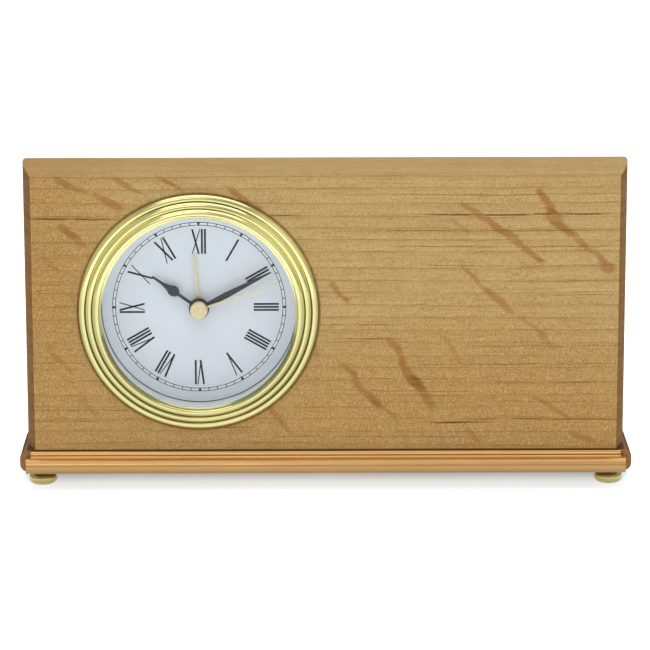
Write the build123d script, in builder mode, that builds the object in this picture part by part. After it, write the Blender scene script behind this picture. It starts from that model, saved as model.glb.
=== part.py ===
from build123d import *
import math
import os

# A free-standing wooden desk clock. A crowned slab stands on a thin base with a metal moulding and
# four bun feet, and a round quartz alarm insert fills a hole through the slab.
# Sizes are in millimetres. +X is to the right, +Y is away from the viewer and +Z is up. The origin is
# on the table, under the middle of the clock. A depth is measured back from the slab's front face.

# Slab and base
PANEL_WIDTH = 251.2
PANEL_HEIGHT = 120.0
PANEL_THICKNESS = 38.1
PANEL_TOP_CROWN = 3.7
PANEL_SIDE_CROWN = 4.2
BASE_OVERHANG = 2.3
BASE_THICKNESS = 9.0
BASE_EDGE_RADIUS = 3.2
BASE_REAR_SOFTNESS = 0.9

# Moulding along the front of the base, as distances forward of the slab and up from its underside
TRIM_PROUD = 6.5
TRIM_INSET = 0.5
TRIM_NOSE_RADIUS = 3.3
TRIM_STEP_PROUD = 2.7
TRIM_BEAD_PROUD = 1.7
TRIM_BEAD_RADIUS = 0.8
TRIM_BEAD_HEIGHT = 1.7
TRIM_BEAD_INSET = 1.9
TRIM_TONGUE_DEPTH = 4.0
TRIM_TONGUE_THICKNESS = 2.0
TRIM_TONGUE_HEIGHT = 4.6
TRIM_GROOVE_GAP = 0.1

# Bun feet, turned in one piece with the stud that holds them
FOOT_HEIGHT = 7.3
FOOT_RADIUS = 6.1
FOOT_FLAT_RADIUS = 3.9
FOOT_BUN_HEIGHT = 5.4
FOOT_NECK_RADIUS = 3.9
FOOT_COLLAR_RADIUS = 4.8
FOOT_COLLAR_HEIGHT = 0.8
FOOT_STUD_RADIUS = 2.0
FOOT_STUD_LENGTH = 5.5
FOOT_FROM_END = 8.9
FOOT_FROM_FACE = 9.0

# Screws that hold the slab on the base
BASE_SCREW_RADIUS = 1.75
BASE_SCREW_HEAD_RADIUS = 3.6
BASE_SCREW_HEAD_HEIGHT = 2.2
BASE_SCREW_LENGTH = 21.0
BASE_SCREW_SPACING = 80.0
BASE_SCREW_COUNT = 3
SCREW_SLOT_WIDTH = 0.8
SCREW_SLOT_LENGTH = 4.4
SCREW_FIT = 0.05

# Cell, its bay in the lower part of the housing, and its cover
CELL_LENGTH = 43.5
CELL_SLIMNESS = 0.1207
CELL_RADIUS = CELL_LENGTH * CELL_SLIMNESS
CELL_NUB_RADIUS = 1.9
CELL_NUB_LENGTH = 1.0
CELL_GAP = 0.2
BAY_SPARE = 1.0
BAY_HEIGHT = 2 * CELL_RADIUS + BAY_SPARE
BAY_END_GAP = 2.0
CONTACT_THICKNESS = 0.4
CONTACT_HEIGHT = 8.0
CONTACT_PAD_RADIUS = 1.8
COVER_GAP = 0.2
COVER_LEDGE = 1.6
COVER_RIB_WIDTH = 1.2
COVER_RIB_HEIGHT = 8.0
COVER_GRIP_COUNT = 5
COVER_GRIP_PITCH = 2.0
COVER_GRIP_HEIGHT = 0.5

# Movement housing, centred on the clock's axis
COVER_SIDE_WALL = 1.65
BAY_END = CELL_LENGTH / 2 + CELL_NUB_LENGTH + BAY_END_GAP
MOVEMENT_SIZE = 2 * (BAY_END + COVER_LEDGE + COVER_SIDE_WALL)
HALF = MOVEMENT_SIZE / 2
MOVEMENT_CORNER = 2.0
MOVEMENT_WALL = 1.2
PLATE_THICKNESS = 1.4
MIDDLE_PLATE_THICKNESS = 1.0
REAR_WALL_THICKNESS = 1.5
WINDOW_GAP = 0.5
PLATE_GAP = 0.2

# The insert is laid out on a grid with this many steps across the movement
GRID_STEPS = 56
GRID = MOVEMENT_SIZE / GRID_STEPS

# Insert: place in the slab, can, front ring and window
CLOCK_FROM_LEFT = 73.0
CLOCK_BELOW_MIDDLE = 0.7
WINDOW_CORNER_ROOM = 1.995
BEZEL_OVERLAP = 6.0
BEZEL_LIP_WIDTH = 2.1
BEZEL_LIP_FRONT = 2.6
BEZEL_LIP_THICKNESS = 0.4
CAN_WALL = 0.9
CAN_FLANGE_OVERLAP = 2.0
CAN_FLANGE_THICKNESS = 1.5
CAN_SHELF_WIDTH = 2.0
CAN_SHELF_THICKNESS = 1.5
CAN_REAR_WALL = 1.5
CAN_REAR_STEP = 0.5
CAN_FIT = 0.1
GRIP_FRONT = 6.0
GRIP_WIDTH = 7.0
GRIP_RIB_COUNT = 3
GRIP_BAND = 0.35
GRIP_SPACE = 0.8
CRYSTAL_THICKNESS = 2.0
GASKET_THICKNESS = 0.3
GASKET_WIDTH = 1.3
REFLECTOR_WALL = 1.3

# The ring's three beads, as steps inward from its outer edge and forward of the slab
BEAD_GROOVE_1 = (3.0, 1.7)
BEAD_GROOVE_2 = (5.9, 2.9)
BEAD_GROOVE_3 = (8.4, 3.3)
BEAD_CREST_1 = (1.0, 1.85)
BEAD_CREST_2 = (4.1, 3.25)
BEAD_CREST_3 = (7.0, 3.95)

# Dial and the stack of hands in front of it
DIAL_FRONT = 9.5
DIAL_THICKNESS = 0.5
HAND_SPACING = 1.2
HAND_THICKNESS = 0.3
HAND_HUB_RADIUS = 4.2
CAP_RADIUS = 3.7
CAP_HEIGHT = 1.8
CAP_EDGE = 0.45

# Time and alarm shown, as clockwise angles from twelve o'clock
HOUR_ANGLE = 305.2
MINUTE_ANGLE = 62.5
SECOND_ANGLE = 71.0
ALARM_ANGLE = 355.0
HOUR_LENGTH = 23.7 * GRID
HOUR_STEM_WIDTH = 1.3
HOUR_STEM_LENGTH = 10.4 * GRID
HOUR_SPADE_WIDTH = 4.4
HOUR_SPADE_AT = 12.4 * GRID
HOUR_SHOULDER_WIDTH = 2.9
HOUR_SHOULDER_AT = 15.0 * GRID
HOUR_WAIST_WIDTH = 1.3
HOUR_WAIST_AT = 18.2 * GRID
HOUR_TIP_WIDTH = 0.8
MINUTE_LENGTH = 33.8 * GRID
MINUTE_ROOT_WIDTH = 1.8
MINUTE_WIDEST = 2.6
MINUTE_WIDEST_AT = 13.0 * GRID
MINUTE_TIP_WIDTH = 0.6
SECOND_LENGTH = 34.3 * GRID
SECOND_ROOT_WIDTH = 0.9
SECOND_TIP_WIDTH = 0.5
ALARM_LENGTH = 22.8 * GRID
ALARM_ROOT_WIDTH = 1.0
ALARM_TIP_WIDTH = 0.7

# Wheel train: each level holds one layer of wheels
WHEEL_WIDTH = 0.7
LEVEL_GAP = 0.4
PINION_MARGIN = 0.1
MOTOR_SPACE = 5.1
RUN_GAP = 0.08
PIPE_WALL = 0.67
ARBOR_RADIUS = 0.5
SETTING_ARBOR_RADIUS = 0.9
PIVOT_LENGTH = 1.6
BOSS_RADIUS = 1.5
BOSS_GAP = 0.5
CLUTCH_THICKNESS = 0.2
CLUTCH_RADIUS = 2.8

# Gear teeth: stubby involutes, thinned so that meshing wheels turn freely
PRESSURE_ANGLE = math.radians(30.0)
ADDENDUM = 0.8
DEDENDUM = 1.0
TOOTH_THINNING = 0.06

# Tooth counts
ROTOR_PINION_TEETH = 8
INTERMEDIATE_TEETH = 48
INTERMEDIATE_PINION_TEETH = 10
SECOND_TEETH = 50
SECOND_PINION_TEETH = 8
THIRD_TEETH = 60
THIRD_PINION_TEETH = 8
CENTRE_TEETH = 64
CANNON_TEETH = 12
MINUTE_TEETH = 36
MINUTE_PINION_TEETH = 10
HOUR_TEETH = 40
ALARM_TEETH = 48
ALARM_PINION_TEETH = 12

# Distances between arbors, and the directions in which they lie seen from the front
ROTOR_DISTANCE = 7.0 * GRID
INTERMEDIATE_DISTANCE = 10.2 * GRID
THIRD_DISTANCE = 10.2 * GRID
SETTING_DISTANCE = 12.0 * GRID
ALARM_DISTANCE = 12.0 * GRID
ROTOR_DIRECTION = 190.0
INTERMEDIATE_DIRECTION = 215.0
THIRD_DIRECTION = 90.0
SETTING_DIRECTION = 150.0
ALARM_DIRECTION = 30.0

# Step motor
MAGNET_RADIUS = 2.2 * GRID
MAGNET_LENGTH = 2.5
STATOR_HOLE_GAP = 0.4
STATOR_RING = 1.0
STATOR_BAR_WIDTH = 5.0 * GRID
STATOR_THICKNESS = 0.8
STATOR_LEG_WIDTH = 3.0 * GRID
COIL_FROM_ROTOR = 6.0 * GRID
COIL_LOW_END = -11.6 * GRID
COIL_HIGH_END = 10.0 * GRID
COIL_RADIUS = 1.9
BOBBIN_FLANGE = 0.6
BOBBIN_WALL = 0.3
CORE_WIDTH = 2.0
MOTOR_POST_RADIUS = 1.4 * GRID
MOTOR_SCREW_RADIUS = 0.6
MOTOR_SCREW_HEAD_RADIUS = 1.2 * GRID
MOTOR_SCREW_HEAD = 0.6

# Circuit board and sounder
BOARD_LEFT = 5.0 * GRID
BOARD_RIGHT = 22.0 * GRID
BOARD_BOTTOM = -13.0 * GRID
BOARD_TOP = 1.5 * GRID
BOARD_THICKNESS = 1.0
BOARD_POST_RADIUS = 1.5 * GRID
BOARD_POST_INSET = 2.6 * GRID
CHIP_RADIUS = 2.6 * GRID
CHIP_HEIGHT = 1.2
QUARTZ_RADIUS = 1.0
QUARTZ_LENGTH = 6.0 * GRID
SOUNDER_AT = (15.5 * GRID, 17.0 * GRID)
SOUNDER_RADIUS = 8.4 * GRID
SOUNDER_THICKNESS = 0.5
SOUNDER_LEDGE = 0.8
SOUND_HOLE_RADIUS = 0.8
SOUND_HOLE_RING = 3.4 * GRID
SOUND_HOLE_COUNT = 6

# Knobs, alarm switch and alarm contact
KNOB_RADIUS = 5.0 * GRID
KNOB_HEIGHT = 2.2
KNOB_GAP = 0.4
KNOB_GRIP_COUNT = 20
KNOB_GRIP_RADIUS = 0.45 * GRID
KNOB_HUB_RADIUS = 2.6 * GRID
KNOB_BLIND = 0.7
SWITCH_AT = (-16.5 * GRID, 19.0 * GRID)
SWITCH_TRAVEL = 4.0
SWITCH_NECK = 4.0 * GRID
SWITCH_NECK_HEIGHT = 3.2 * GRID
SWITCH_PLATE_LENGTH = 11.5 * GRID
SWITCH_PLATE_HEIGHT = 5.6 * GRID
SWITCH_PLATE_THICKNESS = 0.8
SWITCH_THUMB_LENGTH = 6.0 * GRID
SWITCH_THUMB_HEIGHT = 4.4 * GRID
SWITCH_THUMB_THICKNESS = 1.4
SWITCH_GAP = 0.06
LEAF_LEFT = 6.5 * GRID
LEAF_RIGHT = 20.0 * GRID
LEAF_AT = -4.5 * GRID
LEAF_WIDTH = 2.0 * GRID
LEAF_THICKNESS = 0.15
LEAF_POST_RADIUS = 1.4 * GRID

# Small screws in the insert
MOVEMENT_SCREW_INSET = 3.7 * GRID
MOVEMENT_SCREW_LOW = -11.6 * GRID
MOVEMENT_SCREW_RADIUS = 0.8
MOVEMENT_SCREW_HEAD_RADIUS = 1.5 * GRID
MOVEMENT_SCREW_HEAD = 0.9
COLUMN_RADIUS = 1.6 * GRID
LUG_LENGTH = 7.0 * GRID
LUG_HEIGHT = 8.0 * GRID
LUG_THICKNESS = 1.6
CAN_SCREW_RADIUS = 1.0
CAN_SCREW_HEAD_RADIUS = 2.0 * GRID
CAN_SCREW_HEAD = 1.0
CAN_SCREW_LENGTH = 2.8
SCREW_CLEARANCE = 0.15

# Places worked out from the sizes above
PANEL_BOTTOM = FOOT_HEIGHT + BASE_THICKNESS
PANEL_FRONT_Y = (TRIM_PROUD - PANEL_THICKNESS) / 2
PANEL_BACK_Y = PANEL_FRONT_Y + PANEL_THICKNESS
CLOCK_X = CLOCK_FROM_LEFT - PANEL_WIDTH / 2
CLOCK_Z = PANEL_BOTTOM + PANEL_HEIGHT / 2 - CLOCK_BELOW_MIDDLE
CLOCK_AXIS = Axis((CLOCK_X, PANEL_FRONT_Y, CLOCK_Z), (0, 1, 0))

BASE_WIDTH = PANEL_WIDTH + 2 * BASE_OVERHANG
TRIM_LENGTH = PANEL_WIDTH - 2 * TRIM_INSET
CAN_INNER_RADIUS = (HALF + WINDOW_GAP) * math.sqrt(2) + WINDOW_CORNER_ROOM
CAN_RADIUS = CAN_INNER_RADIUS + CAN_WALL
HOLE_RADIUS = CAN_RADIUS + GRIP_SPACE
CAN_FLANGE_RADIUS = HOLE_RADIUS + CAN_FLANGE_OVERLAP
BEZEL_RADIUS = HOLE_RADIUS + BEZEL_OVERLAP
BEZEL_LIP_RADIUS = CAN_INNER_RADIUS - BEZEL_LIP_WIDTH
LIP_BACK = BEZEL_LIP_THICKNESS - BEZEL_LIP_FRONT
CRYSTAL_FRONT = LIP_BACK + GASKET_THICKNESS
CRYSTAL_BACK = CRYSTAL_FRONT + CRYSTAL_THICKNESS
CRYSTAL_RADIUS = CAN_INNER_RADIUS - 3 * CAN_FIT
REFLECTOR_OUTER = CAN_INNER_RADIUS - CAN_FIT
REFLECTOR_RADIUS = REFLECTOR_OUTER - REFLECTOR_WALL

DIAL_BACK = DIAL_FRONT + DIAL_THICKNESS
ALARM_HAND_BACK = DIAL_FRONT - HAND_SPACING
HOUR_HAND_BACK = ALARM_HAND_BACK - HAND_SPACING
MINUTE_HAND_BACK = HOUR_HAND_BACK - HAND_SPACING
SECOND_HAND_BACK = MINUTE_HAND_BACK - HAND_SPACING
CAP_BACK = SECOND_HAND_BACK - HAND_THICKNESS
CAP_FRONT = CAP_BACK - CAP_HEIGHT
BUSH_FRONT = DIAL_FRONT - HAND_SPACING / 2

LEVEL_STEP = WHEEL_WIDTH + LEVEL_GAP
PLATE_BACK = DIAL_BACK + PLATE_THICKNESS
ALARM_LEVEL = PLATE_BACK + LEVEL_GAP
HOUR_LEVEL = ALARM_LEVEL + LEVEL_STEP
MINUTE_LEVEL = HOUR_LEVEL + LEVEL_STEP
MIDDLE_FRONT = MINUTE_LEVEL + LEVEL_STEP
MIDDLE_BACK = MIDDLE_FRONT + MIDDLE_PLATE_THICKNESS
CENTRE_LEVEL = MIDDLE_BACK + LEVEL_GAP
SECOND_LEVEL = CENTRE_LEVEL + LEVEL_STEP
THIRD_LEVEL = SECOND_LEVEL + LEVEL_STEP
TRAIN_BACK = THIRD_LEVEL + WHEEL_WIDTH
BOSS_FRONT = TRAIN_BACK + BOSS_GAP
PIVOT_BACK = BOSS_FRONT + PIVOT_LENGTH
REAR_FRONT = TRAIN_BACK + MOTOR_SPACE
MOVEMENT_BACK = REAR_FRONT + REAR_WALL_THICKNESS
CAN_BACK = MOVEMENT_BACK - CAN_REAR_STEP
CAN_REAR_FRONT = CAN_BACK - CAN_REAR_WALL
KNOB_FRONT = MOVEMENT_BACK + KNOB_GAP
KNOB_BACK = KNOB_FRONT + KNOB_HEIGHT

SECOND_RADIUS = ARBOR_RADIUS
MINUTE_BORE = SECOND_RADIUS + RUN_GAP
MINUTE_RADIUS = MINUTE_BORE + PIPE_WALL
HOUR_BORE = MINUTE_RADIUS + RUN_GAP
HOUR_RADIUS = HOUR_BORE + PIPE_WALL
ALARM_BORE = HOUR_RADIUS + RUN_GAP
ALARM_RADIUS = ALARM_BORE + PIPE_WALL
BUSH_BORE = ALARM_RADIUS + RUN_GAP
BUSH_RADIUS = BUSH_BORE + PIPE_WALL
DIAL_HOLE = BUSH_RADIUS + CAN_FIT

INSIDE = HALF - MOVEMENT_WALL
BAY_TOP = BAY_HEIGHT - INSIDE
PARTITION_TOP = BAY_TOP + MOVEMENT_WALL
CELL_Z = BAY_TOP - BAY_HEIGHT / 2
CELL_DEPTH = PLATE_BACK + CELL_GAP + CELL_RADIUS
CELL_BACK = CELL_DEPTH + CELL_RADIUS
BOARD_FRONT = REAR_FRONT - BOARD_THICKNESS - COIL_RADIUS


def toward(start, distance, direction):
    """The point at a distance from start, in a direction given in degrees seen from the front."""
    angle = math.radians(direction)
    return (start[0] + distance * math.cos(angle), start[1] + distance * math.sin(angle))


CENTRE_AT = (0.0, 0.0)
INTERMEDIATE_AT = toward(CENTRE_AT, INTERMEDIATE_DISTANCE, INTERMEDIATE_DIRECTION)
ROTOR_AT = toward(INTERMEDIATE_AT, ROTOR_DISTANCE, ROTOR_DIRECTION)
THIRD_AT = toward(CENTRE_AT, THIRD_DISTANCE, THIRD_DIRECTION)
SETTING_AT = toward(CENTRE_AT, SETTING_DISTANCE, SETTING_DIRECTION)
ALARM_AT = toward(CENTRE_AT, ALARM_DISTANCE, ALARM_DIRECTION)

STATOR_FRONT = BOSS_FRONT + STATOR_THICKNESS
STATOR_BACK = STATOR_FRONT + STATOR_THICKNESS
CORE_BACK = STATOR_BACK + STATOR_THICKNESS
COIL_X = ROTOR_AT[0] - COIL_FROM_ROTOR
COIL_DEPTH = (STATOR_BACK + CORE_BACK) / 2
COIL_LOW = COIL_LOW_END + STATOR_LEG_WIDTH / 2
COIL_HIGH = COIL_HIGH_END - STATOR_LEG_WIDTH / 2

COLUMN_X = HALF - MOVEMENT_SCREW_INSET
COLUMN_PLACES = [
    (side * COLUMN_X, height) for side in (-1, 1) for height in (MOVEMENT_SCREW_LOW, COLUMN_X)
]
BOARD_POSTS = [
    (BOARD_LEFT + BOARD_POST_INSET, BOARD_BOTTOM + BOARD_POST_INSET),
    (BOARD_RIGHT - BOARD_POST_INSET, BOARD_TOP - BOARD_POST_INSET),
]
MOTOR_POSTS = [(COIL_X, COIL_LOW_END), (COIL_X, COIL_HIGH_END)]
LUG_X = HALF + LUG_LENGTH / 2


def layer(depth, at=CENTRE_AT):
    """A plane that faces the viewer at a depth, centred on the clock's axis or off it."""
    return Plane(
        origin=(CLOCK_X + at[0], PANEL_FRONT_Y + depth, CLOCK_Z + at[1]),
        x_dir=(1, 0, 0),
        z_dir=(0, -1, 0),
    )


def disc(front, back, radius, bore=0.0, at=CENTRE_AT):
    """A disc or a ring between two depths."""
    with BuildPart() as body:
        with BuildSketch(layer(back, at)):
            Circle(radius)
            if bore > 0:
                Circle(bore, mode=Mode.SUBTRACT)
        extrude(amount=back - front)
    return body.part


def block(front, back, left, right, bottom, top):
    """A rectangular block between two depths, in the movement's own coordinates."""
    with BuildPart() as body:
        with BuildSketch(layer(back, ((left + right) / 2, (bottom + top) / 2))):
            Rectangle(right - left, top - bottom)
        extrude(amount=back - front)
    return body.part


def housing_block(front, back, size, corner):
    """A square block with rounded corners, centred on the clock's axis."""
    with BuildPart() as body:
        with BuildSketch(layer(back)):
            RectangleRounded(size, size, corner)
        extrude(amount=back - front)
    return body.part


def polar(radius, angle):
    return (radius * math.cos(angle), radius * math.sin(angle))


def module_for(distance, teeth, other_teeth):
    """The module that lets two gears mesh at a distance."""
    return 2 * distance / (teeth + other_teeth)


def gear(front, back, teeth, module, at, tooth_direction):
    """A spur gear between two depths, with the middle of one tooth in a given direction."""
    pitch = teeth * module / 2
    base = pitch * math.cos(PRESSURE_ANGLE)
    tip = pitch + ADDENDUM * module
    root = pitch - DEDENDUM * module
    start = max(base, root)
    middle = (start + tip) / 2
    half_tooth = (math.pi * module / 2 - TOOTH_THINNING) / (2 * pitch)

    def half_angle(radius):
        slope = math.acos(min(1.0, base / radius))
        return half_tooth + math.tan(PRESSURE_ANGLE) - PRESSURE_ANGLE - math.tan(slope) + slope

    with BuildPart() as body:
        with BuildSketch(layer(back, at)):
            with BuildLine():
                for index in range(teeth):
                    mid = math.radians(tooth_direction) + 2 * math.pi * index / teeth
                    after = mid + 2 * math.pi / teeth
                    foot = half_angle(start)
                    ThreePointArc(
                        polar(start, mid - foot),
                        polar(middle, mid - half_angle(middle)),
                        polar(tip, mid - half_angle(tip)),
                    )
                    Line(polar(tip, mid - half_angle(tip)), polar(tip, mid + half_angle(tip)))
                    ThreePointArc(
                        polar(tip, mid + half_angle(tip)),
                        polar(middle, mid + half_angle(middle)),
                        polar(start, mid + foot),
                    )
                    if root < start:
                        Line(polar(start, mid + foot), polar(root, mid + foot))
                        Line(polar(root, mid + foot), polar(root, after - foot))
                        Line(polar(root, after - foot), polar(start, after - foot))
                    else:
                        Line(polar(start, mid + foot), polar(start, after - foot))
            make_face()
        extrude(amount=back - front)
    return body.part


def gap_toward(direction, teeth):
    """Where a gear has its tooth when it shows a gap to the gear that lies back along a direction."""
    return direction + 180.0 + 180.0 / teeth


def wheel(level, teeth, module, at, tooth_direction):
    """A wheel that fills one level of the train."""
    return gear(level, level + WHEEL_WIDTH, teeth, module, at, tooth_direction)


def pinion(level, teeth, module, at, tooth_direction):
    """A pinion at one level, a little wider than the wheel that it meets."""
    front = level - PINION_MARGIN
    back = level + WHEEL_WIDTH + PINION_MARGIN
    return gear(front, back, teeth, module, at, tooth_direction)


def hand_plane(back, angle):
    """A plane facing the viewer whose upward direction is turned clockwise by an angle."""
    turn = math.radians(angle)
    return Plane(
        origin=(CLOCK_X, PANEL_FRONT_Y + back, CLOCK_Z),
        x_dir=(math.cos(turn), 0, -math.sin(turn)),
        z_dir=(0, -1, 0),
    )


def tapered_hand(back, angle, hub, bore, outline):
    """A flat hand: a round hub with a bore, and a blade given by distances out and full widths."""
    right = [(width / 2, out) for out, width in outline]
    left = [(-width / 2, out) for out, width in reversed(outline)]
    with BuildPart() as body:
        with BuildSketch(hand_plane(back, angle)):
            with BuildLine():
                Polyline(*right, *left, close=True)
            make_face()
            Circle(hub)
            Circle(bore, mode=Mode.SUBTRACT)
        extrude(amount=HAND_THICKNESS)
    return body.part


def knob(at, bore):
    """A round knob with a fluted rim, open toward the arbor that carries it."""
    with BuildPart() as body:
        add(disc(KNOB_FRONT, KNOB_BACK, KNOB_RADIUS, at=at))
        with BuildSketch(layer(KNOB_BACK, at)):
            with PolarLocations(KNOB_RADIUS, KNOB_GRIP_COUNT):
                Circle(KNOB_GRIP_RADIUS)
        extrude(amount=KNOB_HEIGHT, mode=Mode.SUBTRACT)
        add(disc(KNOB_FRONT, KNOB_BACK - KNOB_BLIND, bore, at=at), mode=Mode.SUBTRACT)
    return body.part


def save(piece, label):
    piece.part.label = label
    export_step(piece.part, f"parts/{label}.step")


os.makedirs("parts", exist_ok=True)

BASE_SCREW_PLACES = [
    (BASE_SCREW_SPACING * (index - (BASE_SCREW_COUNT - 1) / 2), PANEL_FRONT_Y + PANEL_THICKNESS / 2)
    for index in range(BASE_SCREW_COUNT)
]
BASE_SCREW_TOP = FOOT_HEIGHT + BASE_SCREW_LENGTH

PANEL_TOP = PANEL_BOTTOM + PANEL_HEIGHT
PANEL_MIDDLE_Y = (PANEL_FRONT_Y + PANEL_BACK_Y) / 2
FACE_SIDE = PANEL_WIDTH / 2 - PANEL_SIDE_CROWN
FACE_TOP = PANEL_TOP - PANEL_TOP_CROWN

# The wooden slab, with the hole for the insert. Its top and sides bulge in a shallow arc from front
# to back, and meet along mitred corners.
with BuildPart() as panel:
    with BuildSketch(Plane.XY.offset(PANEL_BOTTOM)):
        with BuildLine():
            Line((-FACE_SIDE, PANEL_FRONT_Y), (FACE_SIDE, PANEL_FRONT_Y))
            ThreePointArc(
                (FACE_SIDE, PANEL_FRONT_Y),
                (PANEL_WIDTH / 2, PANEL_MIDDLE_Y),
                (FACE_SIDE, PANEL_BACK_Y),
            )
            Line((FACE_SIDE, PANEL_BACK_Y), (-FACE_SIDE, PANEL_BACK_Y))
            ThreePointArc(
                (-FACE_SIDE, PANEL_BACK_Y),
                (-PANEL_WIDTH / 2, PANEL_MIDDLE_Y),
                (-FACE_SIDE, PANEL_FRONT_Y),
            )
        make_face()
    extrude(amount=PANEL_HEIGHT)
    with BuildSketch(Plane.YZ.offset(-PANEL_WIDTH / 2)):
        with BuildLine():
            Polyline(
                (PANEL_FRONT_Y, FACE_TOP),
                (PANEL_FRONT_Y, PANEL_BOTTOM),
                (PANEL_BACK_Y, PANEL_BOTTOM),
                (PANEL_BACK_Y, FACE_TOP),
            )
            ThreePointArc(
                (PANEL_BACK_Y, FACE_TOP), (PANEL_MIDDLE_Y, PANEL_TOP), (PANEL_FRONT_Y, FACE_TOP)
            )
        make_face()
    extrude(amount=PANEL_WIDTH, mode=Mode.INTERSECT)
    add(disc(0, PANEL_THICKNESS, HOLE_RADIUS), mode=Mode.SUBTRACT)
    with BuildSketch(Plane.XY.offset(PANEL_BOTTOM)):
        with Locations(*BASE_SCREW_PLACES):
            Circle(BASE_SCREW_RADIUS + SCREW_FIT)
    extrude(amount=BASE_SCREW_TOP - PANEL_BOTTOM + SCREW_FIT, mode=Mode.SUBTRACT)
save(panel, "wood_panel")

FOOT_X = BASE_WIDTH / 2 - FOOT_FROM_END
FOOT_FRONT_Y = PANEL_FRONT_Y + FOOT_FROM_FACE
FOOT_REAR_Y = PANEL_BACK_Y - FOOT_FROM_FACE
FOOT_PLACES = {
    "foot_front_left": (-FOOT_X, FOOT_FRONT_Y),
    "foot_front_right": (FOOT_X, FOOT_FRONT_Y),
    "foot_rear_left": (-FOOT_X, FOOT_REAR_Y),
    "foot_rear_right": (FOOT_X, FOOT_REAR_Y),
}
BASE_REAR_ROUND = BASE_EDGE_RADIUS * BASE_REAR_SOFTNESS

# The base board, with rounded ends and rear edge, a groove for the moulding, and holes for feet and screws
with BuildPart() as base_board:
    with BuildSketch(Plane.XZ.offset(-PANEL_BACK_Y)):
        with Locations((0, FOOT_HEIGHT + BASE_THICKNESS / 2)):
            RectangleRounded(BASE_WIDTH, BASE_THICKNESS, BASE_EDGE_RADIUS)
    extrude(amount=PANEL_THICKNESS)
    fillet(base_board.faces().sort_by(Axis.Y)[-1].edges(), BASE_REAR_ROUND)
    with BuildSketch(Plane.XZ.offset(-PANEL_FRONT_Y - TRIM_TONGUE_DEPTH - TRIM_GROOVE_GAP)):
        with Locations((0, FOOT_HEIGHT + TRIM_TONGUE_HEIGHT)):
            Rectangle(
                TRIM_LENGTH + 2 * TRIM_GROOVE_GAP, TRIM_TONGUE_THICKNESS + 2 * TRIM_GROOVE_GAP
            )
    extrude(amount=TRIM_TONGUE_DEPTH + TRIM_GROOVE_GAP, mode=Mode.SUBTRACT)
    with BuildSketch(Plane.XY.offset(FOOT_HEIGHT)):
        with Locations(*FOOT_PLACES.values()):
            Circle(FOOT_STUD_RADIUS + SCREW_FIT)
    extrude(amount=FOOT_STUD_LENGTH + SCREW_FIT, mode=Mode.SUBTRACT)
    with Locations(*[(x, y, FOOT_HEIGHT) for x, y in BASE_SCREW_PLACES]):
        Cylinder(
            BASE_SCREW_RADIUS + SCREW_FIT,
            BASE_THICKNESS,
            align=(Align.CENTER, Align.CENTER, Align.MIN),
            mode=Mode.SUBTRACT,
        )
        Cone(
            BASE_SCREW_HEAD_RADIUS + SCREW_FIT,
            BASE_SCREW_RADIUS + SCREW_FIT,
            BASE_SCREW_HEAD_HEIGHT,
            align=(Align.CENTER, Align.CENTER, Align.MIN),
            mode=Mode.SUBTRACT,
        )
save(base_board, "base_board")


def trim_point(proud, height):
    """A point of the moulding's section, forward of the slab and up from the base's underside."""
    return (PANEL_FRONT_Y - proud, FOOT_HEIGHT + height)


# The metal moulding: a bead over a step over a round nose, with a tongue into the base
with BuildPart() as front_moulding:
    with BuildSketch(Plane.YZ.offset(-TRIM_LENGTH / 2)):
        with BuildLine():
            nose_centre = TRIM_PROUD - TRIM_NOSE_RADIUS
            bead_foot = BASE_THICKNESS - TRIM_BEAD_HEIGHT
            bead_side = BASE_THICKNESS - TRIM_BEAD_RADIUS
            bead_back = TRIM_BEAD_PROUD - TRIM_BEAD_RADIUS
            bead_reach = TRIM_BEAD_RADIUS * math.sqrt(0.5)
            tongue_low = TRIM_TONGUE_HEIGHT - TRIM_TONGUE_THICKNESS / 2
            tongue_high = TRIM_TONGUE_HEIGHT + TRIM_TONGUE_THICKNESS / 2
            Line(trim_point(0, BASE_THICKNESS), trim_point(bead_back, BASE_THICKNESS))
            ThreePointArc(
                trim_point(bead_back, BASE_THICKNESS),
                trim_point(bead_back + bead_reach, bead_side + bead_reach),
                trim_point(TRIM_BEAD_PROUD, bead_side),
            )
            Polyline(
                trim_point(TRIM_BEAD_PROUD, bead_side),
                trim_point(TRIM_BEAD_PROUD, bead_foot),
                trim_point(TRIM_STEP_PROUD, bead_foot),
                trim_point(TRIM_STEP_PROUD, 2 * TRIM_NOSE_RADIUS),
                trim_point(nose_centre, 2 * TRIM_NOSE_RADIUS),
            )
            ThreePointArc(
                trim_point(nose_centre, 2 * TRIM_NOSE_RADIUS),
                trim_point(TRIM_PROUD, TRIM_NOSE_RADIUS),
                trim_point(nose_centre, 0),
            )
            Polyline(
                trim_point(nose_centre, 0),
                trim_point(0, 0),
                trim_point(0, tongue_low),
                trim_point(-TRIM_TONGUE_DEPTH, tongue_low),
                trim_point(-TRIM_TONGUE_DEPTH, tongue_high),
                trim_point(0, tongue_high),
                trim_point(0, BASE_THICKNESS),
            )
        make_face()
    extrude(amount=TRIM_LENGTH)
    nose_top = FOOT_HEIGHT + 2 * TRIM_NOSE_RADIUS
    with Locations(*[(side * TRIM_LENGTH / 2, PANEL_FRONT_Y, nose_top) for side in (-1, 1)]):
        Box(
            2 * TRIM_BEAD_INSET,
            TRIM_PROUD,
            BASE_THICKNESS,
            align=(Align.CENTER, Align.MAX, Align.MIN),
            mode=Mode.SUBTRACT,
        )
save(front_moulding, "front_moulding")


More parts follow.
